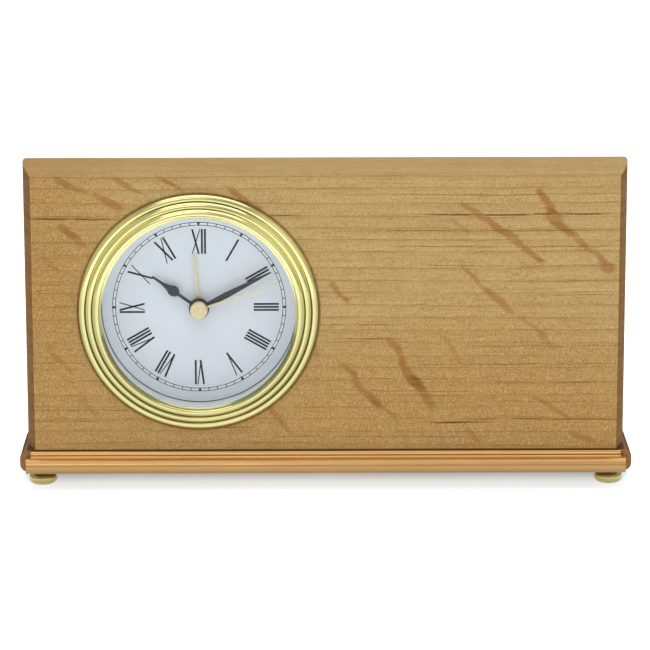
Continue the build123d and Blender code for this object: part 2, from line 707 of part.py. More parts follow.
def bun_foot(place):
    """A turned foot: a flattened bun, a neck, a collar against the base, and a stud."""
    collar_bottom = FOOT_HEIGHT - FOOT_COLLAR_HEIGHT
    with BuildPart() as body:
        with BuildSketch(Plane.XZ):
            with BuildLine():
                Line((0, 0), (FOOT_FLAT_RADIUS, 0))
                ThreePointArc(
                    (FOOT_FLAT_RADIUS, 0),
                    (FOOT_RADIUS, FOOT_BUN_HEIGHT / 2),
                    (FOOT_NECK_RADIUS, FOOT_BUN_HEIGHT),
                )
                Polyline(
                    (FOOT_NECK_RADIUS, FOOT_BUN_HEIGHT),
                    (FOOT_NECK_RADIUS, collar_bottom),
                    (FOOT_COLLAR_RADIUS, collar_bottom),
                    (FOOT_COLLAR_RADIUS, FOOT_HEIGHT),
                    (FOOT_STUD_RADIUS, FOOT_HEIGHT),
                    (FOOT_STUD_RADIUS, FOOT_HEIGHT + FOOT_STUD_LENGTH),
                    (0, FOOT_HEIGHT + FOOT_STUD_LENGTH),
                    (0, 0),
                )
            make_face()
        revolve(axis=Axis.Z)
    return body.part.moved(Location((place[0], place[1], 0)))


# The four bun feet
for label, place in FOOT_PLACES.items():
    with BuildPart() as foot:
        add(bun_foot(place))
    save(foot, label)

# The countersunk screws that come up through the base into the slab
with BuildPart() as base_screws:
    with Locations(*[(x, y, FOOT_HEIGHT) for x, y in BASE_SCREW_PLACES]):
        Cylinder(
            BASE_SCREW_RADIUS, BASE_SCREW_LENGTH, align=(Align.CENTER, Align.CENTER, Align.MIN)
        )
        Cone(
            BASE_SCREW_HEAD_RADIUS,
            BASE_SCREW_RADIUS,
            BASE_SCREW_HEAD_HEIGHT,
            align=(Align.CENTER, Align.CENTER, Align.MIN),
        )
        for turn in (0, 90):
            Box(
                SCREW_SLOT_LENGTH,
                SCREW_SLOT_WIDTH,
                BASE_SCREW_HEAD_HEIGHT,
                rotation=(0, 0, turn),
                mode=Mode.SUBTRACT,
            )
save(base_screws, "base_screws")

# The plastic can that holds the whole insert, with a flange in front and a square window behind
with BuildPart() as insert_can:
    add(disc(-CAN_FLANGE_THICKNESS, 0, CAN_FLANGE_RADIUS, CAN_INNER_RADIUS))
    add(disc(-CAN_FLANGE_THICKNESS, CAN_BACK, CAN_RADIUS, CAN_INNER_RADIUS))
    add(
        disc(
            DIAL_BACK,
            DIAL_BACK + CAN_SHELF_THICKNESS,
            CAN_INNER_RADIUS,
            CAN_INNER_RADIUS - CAN_SHELF_WIDTH,
        )
    )
    add(disc(CAN_REAR_FRONT, CAN_BACK, CAN_INNER_RADIUS))
    window = HALF + WINDOW_GAP
    add(
        block(CAN_REAR_FRONT, CAN_BACK, -window, window, -window, window),
        mode=Mode.SUBTRACT,
    )
    for side in (-1, 1):
        add(
            disc(
                CAN_REAR_FRONT,
                CAN_BACK,
                CAN_SCREW_RADIUS + SCREW_CLEARANCE,
                at=(side * LUG_X, 0),
            ),
            mode=Mode.SUBTRACT,
        )
save(insert_can, "insert_can")

# The ribbed rubber band around the can that grips the hole
with BuildPart() as grip_band:
    add(disc(GRIP_FRONT, GRIP_FRONT + GRIP_WIDTH, CAN_RADIUS + GRIP_BAND, CAN_RADIUS))
    rib_pitch = GRIP_WIDTH / (2 * GRIP_RIB_COUNT - 1)
    for index in range(GRIP_RIB_COUNT):
        rib_front = GRIP_FRONT + 2 * index * rib_pitch
        add(disc(rib_front, rib_front + rib_pitch, HOLE_RADIUS - CAN_FIT, CAN_RADIUS))
save(grip_band, "grip_band")



def ring_point(step):
    """A point of the ring's section, from a step inward of its edge and forward of the slab."""
    return (BEZEL_RADIUS - step[0], -step[1])


# The brass ring in front: three round beads that rise toward an inner lip
with BuildPart() as bezel:
    with BuildSketch(
        Plane(origin=(CLOCK_X, PANEL_FRONT_Y, CLOCK_Z), x_dir=(1, 0, 0), z_dir=(0, 0, 1))
    ):
        with BuildLine():
            groove_1 = ring_point(BEAD_GROOVE_1)
            groove_2 = ring_point(BEAD_GROOVE_2)
            groove_3 = ring_point(BEAD_GROOVE_3)
            ThreePointArc((BEZEL_RADIUS, 0), ring_point(BEAD_CREST_1), groove_1)
            ThreePointArc(groove_1, ring_point(BEAD_CREST_2), groove_2)
            ThreePointArc(groove_2, ring_point(BEAD_CREST_3), groove_3)
            Polyline(
                groove_3,
                (BEZEL_LIP_RADIUS, -BEZEL_LIP_FRONT),
                (BEZEL_LIP_RADIUS, LIP_BACK),
                (CAN_INNER_RADIUS - CAN_FIT, LIP_BACK),
                (CAN_INNER_RADIUS - CAN_FIT, -CAN_FLANGE_THICKNESS),
                (CAN_FLANGE_RADIUS + CAN_FIT, -CAN_FLANGE_THICKNESS),
                (CAN_FLANGE_RADIUS + CAN_FIT, 0),
                (BEZEL_RADIUS, 0),
            )
        make_face()
    revolve(axis=CLOCK_AXIS)
save(bezel, "bezel")

# The window glass and the gasket that seals it against the ring's lip
with BuildPart() as crystal:
    add(disc(CRYSTAL_FRONT, CRYSTAL_BACK, CRYSTAL_RADIUS))
save(crystal, "crystal")

with BuildPart() as crystal_gasket:
    add(disc(LIP_BACK, CRYSTAL_FRONT, CRYSTAL_RADIUS, CRYSTAL_RADIUS - GASKET_WIDTH))
save(crystal_gasket, "crystal_gasket")

# The pale inner wall between the glass and the dial
with BuildPart() as reflector_ring:
    add(disc(CRYSTAL_BACK, DIAL_FRONT, REFLECTOR_OUTER, REFLECTOR_RADIUS))
save(reflector_ring, "reflector_ring")

with BuildPart() as dial:
    add(disc(DIAL_FRONT, DIAL_BACK, REFLECTOR_OUTER, DIAL_HOLE))
save(dial, "dial")

# The movement's front plate, with the bush that carries the alarm pipe and four columns behind it
with BuildPart() as front_plate:
    add(housing_block(DIAL_BACK, PLATE_BACK, MOVEMENT_SIZE, MOVEMENT_CORNER))
    add(disc(BUSH_FRONT, DIAL_BACK, BUSH_RADIUS))
    for place in COLUMN_PLACES:
        add(disc(PLATE_BACK, MIDDLE_FRONT, COLUMN_RADIUS, at=place))
        add(
            disc(PLATE_BACK, MIDDLE_FRONT, MOVEMENT_SCREW_RADIUS + SCREW_FIT, at=place),
            mode=Mode.SUBTRACT,
        )
    add(disc(BUSH_FRONT, PLATE_BACK, BUSH_BORE), mode=Mode.SUBTRACT)
    for place in (SETTING_AT, ALARM_AT):
        add(
            disc(DIAL_BACK + LEVEL_GAP, PLATE_BACK, SETTING_ARBOR_RADIUS + RUN_GAP, at=place),
            mode=Mode.SUBTRACT,
        )
save(front_plate, "movement_front_plate")

# The middle plate, which parts the wheels of the hands from the going train
with BuildPart() as middle_plate:
    add(
        block(
            MIDDLE_FRONT,
            MIDDLE_BACK,
            PLATE_GAP - INSIDE,
            INSIDE - PLATE_GAP,
            PARTITION_TOP + PLATE_GAP,
            INSIDE - PLATE_GAP,
        )
    )
    for place in COLUMN_PLACES:
        add(
            disc(MIDDLE_FRONT, MIDDLE_BACK, MOVEMENT_SCREW_RADIUS + SCREW_CLEARANCE, at=place),
            mode=Mode.SUBTRACT,
        )
    for place, radius in (
        (CENTRE_AT, MINUTE_RADIUS),
        (THIRD_AT, ARBOR_RADIUS),
        (INTERMEDIATE_AT, ARBOR_RADIUS),
        (ROTOR_AT, ARBOR_RADIUS),
        (SETTING_AT, SETTING_ARBOR_RADIUS),
        (ALARM_AT, SETTING_ARBOR_RADIUS),
    ):
        add(disc(MIDDLE_FRONT, MIDDLE_BACK, radius + RUN_GAP, at=place), mode=Mode.SUBTRACT)
    leaf_post = (LEAF_RIGHT - LEAF_POST_RADIUS, LEAF_AT)
    add(
        disc(
            HOUR_LEVEL + WHEEL_WIDTH + LEAF_THICKNESS * 2,
            MIDDLE_FRONT,
            LEAF_POST_RADIUS,
            at=leaf_post,
        )
    )
save(middle_plate, "movement_middle_plate")

ROTOR_BOSS_FRONT = STATOR_FRONT + MAGNET_LENGTH + BOSS_GAP
ROTOR_PIVOT_BACK = REAR_FRONT + REAR_WALL_THICKNESS / 3
SLOT_HALF = SWITCH_NECK / 2 + SWITCH_GAP

# The movement's rear housing: walls, cell bay, bearings, posts, and openings for the controls
with BuildPart() as rear_housing:
    add(housing_block(PLATE_BACK, MOVEMENT_BACK, MOVEMENT_SIZE, MOVEMENT_CORNER))
    add(
        block(PLATE_BACK, REAR_FRONT, -INSIDE, INSIDE, PARTITION_TOP, INSIDE),
        mode=Mode.SUBTRACT,
    )
    add(
        block(PLATE_BACK, MOVEMENT_BACK, -BAY_END, BAY_END, -INSIDE, BAY_TOP),
        mode=Mode.SUBTRACT,
    )
    opening_end = BAY_END + COVER_LEDGE
    add(
        block(REAR_FRONT, MOVEMENT_BACK, -opening_end, opening_end, -INSIDE, BAY_TOP),
        mode=Mode.SUBTRACT,
    )
    for side in (-1, 1):
        lug_near = min(side * HALF, side * (HALF + LUG_LENGTH))
        add(
            block(
                CAN_REAR_FRONT - LUG_THICKNESS,
                CAN_REAR_FRONT,
                lug_near,
                lug_near + LUG_LENGTH,
                -LUG_HEIGHT / 2,
                LUG_HEIGHT / 2,
            )
        )
        add(
            disc(
                CAN_REAR_FRONT - LUG_THICKNESS,
                CAN_REAR_FRONT,
                CAN_SCREW_RADIUS + SCREW_FIT,
                at=(side * LUG_X, 0),
            ),
            mode=Mode.SUBTRACT,
        )
    for place in COLUMN_PLACES:
        add(disc(MIDDLE_BACK, REAR_FRONT, COLUMN_RADIUS, at=place))
        add(
            disc(MIDDLE_BACK, MOVEMENT_BACK, MOVEMENT_SCREW_RADIUS + SCREW_CLEARANCE, at=place),
            mode=Mode.SUBTRACT,
        )
        add(
            disc(
                MOVEMENT_BACK - MOVEMENT_SCREW_HEAD,
                MOVEMENT_BACK,
                MOVEMENT_SCREW_HEAD_RADIUS + SCREW_CLEARANCE,
                at=place,
            ),
            mode=Mode.SUBTRACT,
        )
    for place in (CENTRE_AT, THIRD_AT, INTERMEDIATE_AT):
        add(disc(BOSS_FRONT, REAR_FRONT, BOSS_RADIUS, at=place))
        add(
            disc(BOSS_FRONT, PIVOT_BACK + RUN_GAP, ARBOR_RADIUS + RUN_GAP, at=place),
            mode=Mode.SUBTRACT,
        )
    add(disc(ROTOR_BOSS_FRONT, REAR_FRONT, BOSS_RADIUS, at=ROTOR_AT))
    add(
        disc(ROTOR_BOSS_FRONT, ROTOR_PIVOT_BACK + RUN_GAP, ARBOR_RADIUS + RUN_GAP, at=ROTOR_AT),
        mode=Mode.SUBTRACT,
    )
    for place in (SETTING_AT, ALARM_AT):
        add(
            disc(REAR_FRONT, MOVEMENT_BACK, SETTING_ARBOR_RADIUS + RUN_GAP, at=place),
            mode=Mode.SUBTRACT,
        )
    for place in MOTOR_POSTS:
        add(disc(CORE_BACK, REAR_FRONT, MOTOR_POST_RADIUS, at=place))
        add(
            disc(CORE_BACK, REAR_FRONT, MOTOR_SCREW_RADIUS + SCREW_FIT, at=place),
            mode=Mode.SUBTRACT,
        )
    for place in BOARD_POSTS:
        add(disc(BOARD_FRONT + BOARD_THICKNESS, REAR_FRONT, BOARD_POST_RADIUS, at=place))
        add(
            disc(
                BOARD_FRONT + BOARD_THICKNESS,
                REAR_FRONT,
                MOTOR_SCREW_RADIUS + SCREW_FIT,
                at=place,
            ),
            mode=Mode.SUBTRACT,
        )
    sounder_rim = SOUNDER_RADIUS + CAN_FIT
    add(
        disc(
            REAR_FRONT - SOUNDER_THICKNESS - SOUNDER_LEDGE,
            REAR_FRONT,
            sounder_rim + SOUNDER_LEDGE,
            sounder_rim,
            at=SOUNDER_AT,
        )
    )
    add(
        disc(
            REAR_FRONT - SOUNDER_LEDGE,
            REAR_FRONT,
            sounder_rim,
            sounder_rim - SOUNDER_LEDGE,
            at=SOUNDER_AT,
        )
    )
    with BuildSketch(layer(MOVEMENT_BACK, SOUNDER_AT)):
        Circle(SOUND_HOLE_RADIUS)
        with PolarLocations(SOUND_HOLE_RING, SOUND_HOLE_COUNT):
            Circle(SOUND_HOLE_RADIUS)
    extrude(amount=REAR_WALL_THICKNESS, mode=Mode.SUBTRACT)
    add(
        block(
            REAR_FRONT,
            MOVEMENT_BACK,
            SWITCH_AT[0] - SLOT_HALF,
            SWITCH_AT[0] + SWITCH_TRAVEL + SLOT_HALF,
            SWITCH_AT[1] - SWITCH_NECK_HEIGHT / 2 - SWITCH_GAP,
            SWITCH_AT[1] + SWITCH_NECK_HEIGHT / 2 + SWITCH_GAP,
        ),
        mode=Mode.SUBTRACT,
    )
save(rear_housing, "movement_rear_housing")


def flat_head_screw(head_front, head_back, head_radius, shank_end, shank_radius, at, slot_at_back):
    """A slotted screw along the depth; the slot is on the side of the head that faces out."""
    with BuildPart() as body:
        add(disc(head_front, head_back, head_radius, at=at))
        add(disc(min(head_front, shank_end), max(head_back, shank_end), shank_radius, at=at))
        half_depth = (head_back - head_front) / 2
        slot_front = head_back - half_depth if slot_at_back else head_front
        add(
            block(
                slot_front,
                slot_front + half_depth,
                at[0] - head_radius,
                at[0] + head_radius,
                at[1] - head_radius / 6,
                at[1] + head_radius / 6,
            ),
            mode=Mode.SUBTRACT,
        )
    return body.part


# The four long screws that close the movement from behind
with BuildPart() as movement_screws:
    for place in COLUMN_PLACES:
        add(
            flat_head_screw(
                MOVEMENT_BACK - MOVEMENT_SCREW_HEAD,
                MOVEMENT_BACK,
                MOVEMENT_SCREW_HEAD_RADIUS,
                PLATE_BACK,
                MOVEMENT_SCREW_RADIUS,
                place,
                True,
            )
        )
save(movement_screws, "movement_screws")

# The two screws that hold the movement in the can
with BuildPart() as can_screws:
    for side in (-1, 1):
        add(
            flat_head_screw(
                CAN_BACK,
                CAN_BACK + CAN_SCREW_HEAD,
                CAN_SCREW_HEAD_RADIUS,
                CAN_BACK - CAN_SCREW_LENGTH,
                CAN_SCREW_RADIUS,
                (side * LUG_X, 0),
                True,
            )
        )
save(can_screws, "can_screws")

# Step motor: stator, core, bobbin, winding and the screws that clamp them
with BuildPart() as stator:
    ring_radius = MAGNET_RADIUS + STATOR_HOLE_GAP + STATOR_RING
    leg_right = ROTOR_AT[0] + STATOR_BAR_WIDTH / 2
    leg_left = COIL_X - CORE_WIDTH / 2
    for height in (COIL_LOW_END, COIL_HIGH_END):
        add(
            block(
                STATOR_FRONT,
                STATOR_BACK,
                leg_left,
                leg_right,
                height - STATOR_LEG_WIDTH / 2,
                height + STATOR_LEG_WIDTH / 2,
            )
        )
    add(
        block(
            STATOR_FRONT,
            STATOR_BACK,
            ROTOR_AT[0] - STATOR_BAR_WIDTH / 2,
            leg_right,
            COIL_LOW_END,
            COIL_HIGH_END,
        )
    )
    add(disc(STATOR_FRONT, STATOR_BACK, ring_radius, at=ROTOR_AT))
    add(
        disc(STATOR_FRONT, STATOR_BACK, MAGNET_RADIUS + STATOR_HOLE_GAP, at=ROTOR_AT),
        mode=Mode.SUBTRACT,
    )
    for place in MOTOR_POSTS:
        add(
            disc(STATOR_FRONT, STATOR_BACK, MOTOR_SCREW_RADIUS + SCREW_FIT, at=place),
            mode=Mode.SUBTRACT,
        )
save(stator, "motor_stator")

with BuildPart() as coil_core:
    add(
        block(
            STATOR_BACK,
            CORE_BACK,
            COIL_X - CORE_WIDTH / 2,
            COIL_X + CORE_WIDTH / 2,
            COIL_LOW_END - STATOR_LEG_WIDTH / 2,
            COIL_HIGH_END + STATOR_LEG_WIDTH / 2,
        )
    )
    for place in MOTOR_POSTS:
        add(
            disc(STATOR_BACK, CORE_BACK, MOTOR_SCREW_RADIUS + SCREW_FIT, at=place),
            mode=Mode.SUBTRACT,
        )
save(coil_core, "coil_core")

COIL_AT = (CLOCK_X + COIL_X, PANEL_FRONT_Y + COIL_DEPTH, CLOCK_Z + COIL_LOW)
COIL_LENGTH = COIL_HIGH - COIL_LOW
CORE_THICKNESS = CORE_BACK - STATOR_BACK

with BuildPart() as coil_bobbin:
    with BuildSketch(Plane.XY.moved(Location(COIL_AT))):
        Rectangle(CORE_WIDTH + 2 * BOBBIN_WALL, CORE_THICKNESS + 2 * BOBBIN_WALL)
    extrude(amount=COIL_LENGTH)
    with BuildSketch(Plane.XY.moved(Location(COIL_AT))):
        Circle(COIL_RADIUS)
    extrude(amount=BOBBIN_FLANGE)
    with BuildSketch(Plane.XY.moved(Location(COIL_AT)).offset(COIL_LENGTH)):
        Circle(COIL_RADIUS)
    extrude(amount=-BOBBIN_FLANGE)
    with BuildSketch(Plane.XY.moved(Location(COIL_AT))):
        Rectangle(CORE_WIDTH, CORE_THICKNESS)
    extrude(amount=COIL_LENGTH, mode=Mode.SUBTRACT)
save(coil_bobbin, "coil_bobbin")

with BuildPart() as coil_winding:
    with BuildSketch(Plane.XY.moved(Location(COIL_AT)).offset(BOBBIN_FLANGE)):
        Circle(COIL_RADIUS - BOBBIN_WALL / 2)
        Rectangle(
            CORE_WIDTH + 2 * BOBBIN_WALL, CORE_THICKNESS + 2 * BOBBIN_WALL, mode=Mode.SUBTRACT
        )
    extrude(amount=COIL_LENGTH - 2 * BOBBIN_FLANGE)
save(coil_winding, "coil_winding")

with BuildPart() as motor_screws:
    for place in MOTOR_POSTS:
        add(
            flat_head_screw(
                STATOR_FRONT - MOTOR_SCREW_HEAD,
                STATOR_FRONT,
                MOTOR_SCREW_HEAD_RADIUS,
                REAR_FRONT,
                MOTOR_SCREW_RADIUS,
                place,
                False,
            )
        )
save(motor_screws, "motor_screws")

# Modules of the five pairs in the going train and the two pairs behind the hands, and of the alarm
ROTOR_MODULE = module_for(ROTOR_DISTANCE, ROTOR_PINION_TEETH, INTERMEDIATE_TEETH)
STEP_MODULE = module_for(INTERMEDIATE_DISTANCE, INTERMEDIATE_PINION_TEETH, SECOND_TEETH)
FAST_MODULE = module_for(THIRD_DISTANCE, SECOND_PINION_TEETH, THIRD_TEETH)
SLOW_MODULE = module_for(THIRD_DISTANCE, THIRD_PINION_TEETH, CENTRE_TEETH)
CANNON_MODULE = module_for(SETTING_DISTANCE, CANNON_TEETH, MINUTE_TEETH)
HOUR_MODULE = module_for(SETTING_DISTANCE, MINUTE_PINION_TEETH, HOUR_TEETH)
ALARM_MODULE = module_for(ALARM_DISTANCE, ALARM_TEETH, ALARM_PINION_TEETH)
ARBOR_FRONT = MIDDLE_FRONT + LEVEL_GAP / 2

# The rotor: a magnet and its pinion on one arbor
with BuildPart() as rotor:
    add(disc(ARBOR_FRONT, ROTOR_PIVOT_BACK, ARBOR_RADIUS, at=ROTOR_AT))
    add(
        pinion(
            THIRD_LEVEL,
            ROTOR_PINION_TEETH,
            ROTOR_MODULE,
            ROTOR_AT,
            gap_toward(ROTOR_DIRECTION, ROTOR_PINION_TEETH),
        )
    )
    add(disc(STATOR_FRONT, STATOR_FRONT + MAGNET_LENGTH, MAGNET_RADIUS, at=ROTOR_AT))
save(rotor, "motor_rotor")

with BuildPart() as intermediate_wheel:
    add(disc(ARBOR_FRONT, PIVOT_BACK, ARBOR_RADIUS, at=INTERMEDIATE_AT))
    add(
        wheel(THIRD_LEVEL, INTERMEDIATE_TEETH, ROTOR_MODULE, INTERMEDIATE_AT, ROTOR_DIRECTION)
    )
    add(
        pinion(
            SECOND_LEVEL,
            INTERMEDIATE_PINION_TEETH,
            STEP_MODULE,
            INTERMEDIATE_AT,
            gap_toward(INTERMEDIATE_DIRECTION, INTERMEDIATE_PINION_TEETH),
        )
    )
save(intermediate_wheel, "intermediate_wheel")

# The second wheel turns on the clock's axis and carries the second hand on its long arbor
with BuildPart() as second_wheel:
    add(disc(CAP_BACK - CAP_HEIGHT / 2, PIVOT_BACK, SECOND_RADIUS))
    add(wheel(SECOND_LEVEL, SECOND_TEETH, STEP_MODULE, CENTRE_AT, INTERMEDIATE_DIRECTION))
    add(pinion(THIRD_LEVEL, SECOND_PINION_TEETH, FAST_MODULE, CENTRE_AT, THIRD_DIRECTION))
save(second_wheel, "second_wheel")

with BuildPart() as third_wheel:
    add(disc(ARBOR_FRONT, PIVOT_BACK, ARBOR_RADIUS, at=THIRD_AT))
    add(
        wheel(
            THIRD_LEVEL,
            THIRD_TEETH,
            FAST_MODULE,
            THIRD_AT,
            gap_toward(THIRD_DIRECTION, THIRD_TEETH),
        )
    )
    add(
        pinion(
            CENTRE_LEVEL,
            THIRD_PINION_TEETH,
            SLOW_MODULE,
            THIRD_AT,
            gap_toward(THIRD_DIRECTION, THIRD_PINION_TEETH),
        )
    )
save(third_wheel, "third_wheel")

# The centre wheel slips on the cannon pinion's tail, so that the hands can be set
with BuildPart() as centre_wheel:
    add(wheel(CENTRE_LEVEL, CENTRE_TEETH, SLOW_MODULE, CENTRE_AT, THIRD_DIRECTION))
    add(
        disc(CENTRE_LEVEL, CENTRE_LEVEL + WHEEL_WIDTH, MINUTE_RADIUS + RUN_GAP),
        mode=Mode.SUBTRACT,
    )
save(centre_wheel, "centre_wheel")

CANNON_BACK = CENTRE_LEVEL + WHEEL_WIDTH

# The cannon pinion: a pipe for the minute hand with the pinion that drives the hour hand
with BuildPart() as cannon_pinion:
    add(disc(MINUTE_HAND_BACK - HAND_THICKNESS, CANNON_BACK, MINUTE_RADIUS))
    add(pinion(MINUTE_LEVEL, CANNON_TEETH, CANNON_MODULE, CENTRE_AT, SETTING_DIRECTION))
    add(
        disc(MINUTE_HAND_BACK - HAND_THICKNESS, CANNON_BACK, MINUTE_BORE),
        mode=Mode.SUBTRACT,
    )
save(cannon_pinion, "cannon_pinion")

# The friction washer between the cannon pinion's tail and the centre wheel
with BuildPart() as clutch_washer:
    add(
        disc(
            CENTRE_LEVEL - CLUTCH_THICKNESS - RUN_GAP,
            CENTRE_LEVEL - RUN_GAP,
            CLUTCH_RADIUS,
            MINUTE_RADIUS,
        )
    )
save(clutch_washer, "clutch_washer")

# The minute wheel and its pinion, on the arbor that the setting knob turns
with BuildPart() as minute_wheel:
    add(
        disc(
            DIAL_BACK + LEVEL_GAP + RUN_GAP,
            KNOB_BACK - KNOB_BLIND,
            SETTING_ARBOR_RADIUS,
            at=SETTING_AT,
        )
    )
    add(
        wheel(
            MINUTE_LEVEL,
            MINUTE_TEETH,
            CANNON_MODULE,
            SETTING_AT,
            gap_toward(SETTING_DIRECTION, MINUTE_TEETH),
        )
    )
    add(
        pinion(
            HOUR_LEVEL,
            MINUTE_PINION_TEETH,
            HOUR_MODULE,
            SETTING_AT,
            gap_toward(SETTING_DIRECTION, MINUTE_PINION_TEETH),
        )
    )
save(minute_wheel, "minute_wheel")

with BuildPart() as time_knob:
    add(knob(SETTING_AT, SETTING_ARBOR_RADIUS))
save(time_knob, "time_setting_knob")

with BuildPart() as hour_wheel:
    add(disc(HOUR_HAND_BACK - HAND_THICKNESS, HOUR_LEVEL + WHEEL_WIDTH, HOUR_RADIUS))
    add(wheel(HOUR_LEVEL, HOUR_TEETH, HOUR_MODULE, CENTRE_AT, SETTING_DIRECTION))
    add(
        disc(HOUR_HAND_BACK - HAND_THICKNESS, HOUR_LEVEL + WHEEL_WIDTH, HOUR_BORE),
        mode=Mode.SUBTRACT,
    )
save(hour_wheel, "hour_wheel")

with BuildPart() as alarm_wheel:
    add(disc(ALARM_HAND_BACK - HAND_THICKNESS, ALARM_LEVEL + WHEEL_WIDTH, ALARM_RADIUS))
    add(wheel(ALARM_LEVEL, ALARM_TEETH, ALARM_MODULE, CENTRE_AT, ALARM_DIRECTION))
    add(
        disc(ALARM_HAND_BACK - HAND_THICKNESS, ALARM_LEVEL + WHEEL_WIDTH, ALARM_BORE),
        mode=Mode.SUBTRACT,
    )
save(alarm_wheel, "alarm_wheel")

# The arbor that the alarm knob turns
with BuildPart() as alarm_arbor:
    add(
        disc(
            DIAL_BACK + LEVEL_GAP + RUN_GAP,
            KNOB_BACK - KNOB_BLIND,
            SETTING_ARBOR_RADIUS,
            at=ALARM_AT,
        )
    )
    add(
        pinion(
            ALARM_LEVEL,
            ALARM_PINION_TEETH,
            ALARM_MODULE,
            ALARM_AT,
            gap_toward(ALARM_DIRECTION, ALARM_PINION_TEETH),
        )
    )
save(alarm_arbor, "alarm_arbor")

with BuildPart() as alarm_knob:
    add(knob(ALARM_AT, SETTING_ARBOR_RADIUS))
save(alarm_knob, "alarm_setting_knob")

# The leaf that touches the hour wheel's back when the alarm is due
with BuildPart() as alarm_contact:
    leaf_front = HOUR_LEVEL + WHEEL_WIDTH + LEAF_THICKNESS
    add(
        block(
            leaf_front,
            leaf_front + LEAF_THICKNESS,
            LEAF_LEFT,
            LEAF_RIGHT,
            LEAF_AT - LEAF_WIDTH / 2,
            LEAF_AT + LEAF_WIDTH / 2,
        )
    )
save(alarm_contact, "alarm_contact_leaf")

# Hands, from the dial forward: alarm, hour, minute and second, and the cap over them all
with BuildPart() as alarm_hand:
    add(
        tapered_hand(
            ALARM_HAND_BACK,
            ALARM_ANGLE,
            HAND_HUB_RADIUS,
            ALARM_RADIUS,
            [(0, ALARM_ROOT_WIDTH), (ALARM_LENGTH, ALARM_TIP_WIDTH)],
        )
    )
save(alarm_hand, "alarm_hand")

with BuildPart() as hour_hand:
    with BuildSketch(hand_plane(HOUR_HAND_BACK, HOUR_ANGLE)):
        with BuildLine():
            for side in (-1, 1):
                stem = side * HOUR_STEM_WIDTH / 2
                shoulder = side * HOUR_SHOULDER_WIDTH / 2
                Line((0, 0), (stem, 0))
                Line((stem, 0), (stem, HOUR_STEM_LENGTH))
                ThreePointArc(
                    (stem, HOUR_STEM_LENGTH),
                    (side * HOUR_SPADE_WIDTH / 2, HOUR_SPADE_AT),
                    (shoulder, HOUR_SHOULDER_AT),
                )
                Polyline(
                    (shoulder, HOUR_SHOULDER_AT),
                    (side * HOUR_WAIST_WIDTH / 2, HOUR_WAIST_AT),
                    (side * HOUR_TIP_WIDTH / 2, HOUR_LENGTH),
                    (0, HOUR_LENGTH),
                )
        make_face()
        Circle(HAND_HUB_RADIUS)
        Circle(HOUR_RADIUS, mode=Mode.SUBTRACT)
    extrude(amount=HAND_THICKNESS)
save(hour_hand, "hour_hand")

with BuildPart() as minute_hand:
    add(
        tapered_hand(
            MINUTE_HAND_BACK,
            MINUTE_ANGLE,
            HAND_HUB_RADIUS,
            MINUTE_RADIUS,
            [
                (0, MINUTE_ROOT_WIDTH),
                (MINUTE_WIDEST_AT, MINUTE_WIDEST),
                (MINUTE_LENGTH, MINUTE_TIP_WIDTH),
            ],
        )
    )
save(minute_hand, "minute_hand")

with BuildPart() as second_hand:
    add(
        tapered_hand(
            SECOND_HAND_BACK,
            SECOND_ANGLE,
            CAP_RADIUS - CAP_EDGE,
            SECOND_RADIUS,
            [(0, SECOND_ROOT_WIDTH), (SECOND_LENGTH, SECOND_TIP_WIDTH)],
        )
    )
save(second_hand, "second_hand")

with BuildPart() as hand_cap:
    add(disc(CAP_FRONT, CAP_BACK, CAP_RADIUS))
    fillet(hand_cap.edges().sort_by(Axis.Y)[0], CAP_EDGE)
    add(disc(CAP_BACK - CAP_HEIGHT / 2, CAP_BACK, SECOND_RADIUS), mode=Mode.SUBTRACT)
save(hand_cap, "hand_cap")

# The cell, lying across the lower part of the housing, with its two contacts
with BuildPart() as cell:
    body_left = -(CELL_LENGTH + CELL_NUB_LENGTH) / 2
    cell_plane = Plane(
        origin=(CLOCK_X + body_left, PANEL_FRONT_Y + CELL_DEPTH, CLOCK_Z + CELL_Z),
        x_dir=(0, 1, 0),
        z_dir=(1, 0, 0),
    )
    with BuildSketch(cell_plane):
        Circle(CELL_RADIUS)
    extrude(amount=CELL_LENGTH)
    with BuildSketch(cell_plane.offset(CELL_LENGTH)):
        Circle(CELL_NUB_RADIUS)
    extrude(amount=CELL_NUB_LENGTH)
save(cell, "battery_cell")

CELL_END = (CELL_LENGTH + CELL_NUB_LENGTH) / 2

for label, side in (("battery_contact_negative", -1), ("battery_contact_positive", 1)):
    with BuildPart() as contact:
        plate_left = min(side * BAY_END, side * (BAY_END - CONTACT_THICKNESS))
        add(
            block(
                CELL_DEPTH - CONTACT_HEIGHT / 2,
                CELL_DEPTH + CONTACT_HEIGHT / 2,
                plate_left,
                plate_left + CONTACT_THICKNESS,
                CELL_Z - CONTACT_HEIGHT / 2,
                CELL_Z + CONTACT_HEIGHT / 2,
            )
        )
        pad_plane = Plane(
            origin=(
                CLOCK_X + side * (BAY_END - CONTACT_THICKNESS),
                PANEL_FRONT_Y + CELL_DEPTH,
                CLOCK_Z + CELL_Z,
            ),
            x_dir=(0, 1, 0),
            z_dir=(-side, 0, 0),
        )
        with BuildSketch(pad_plane):
            Circle(CONTACT_PAD_RADIUS)
        extrude(amount=BAY_END - CONTACT_THICKNESS - CELL_END)
    save(contact, label)

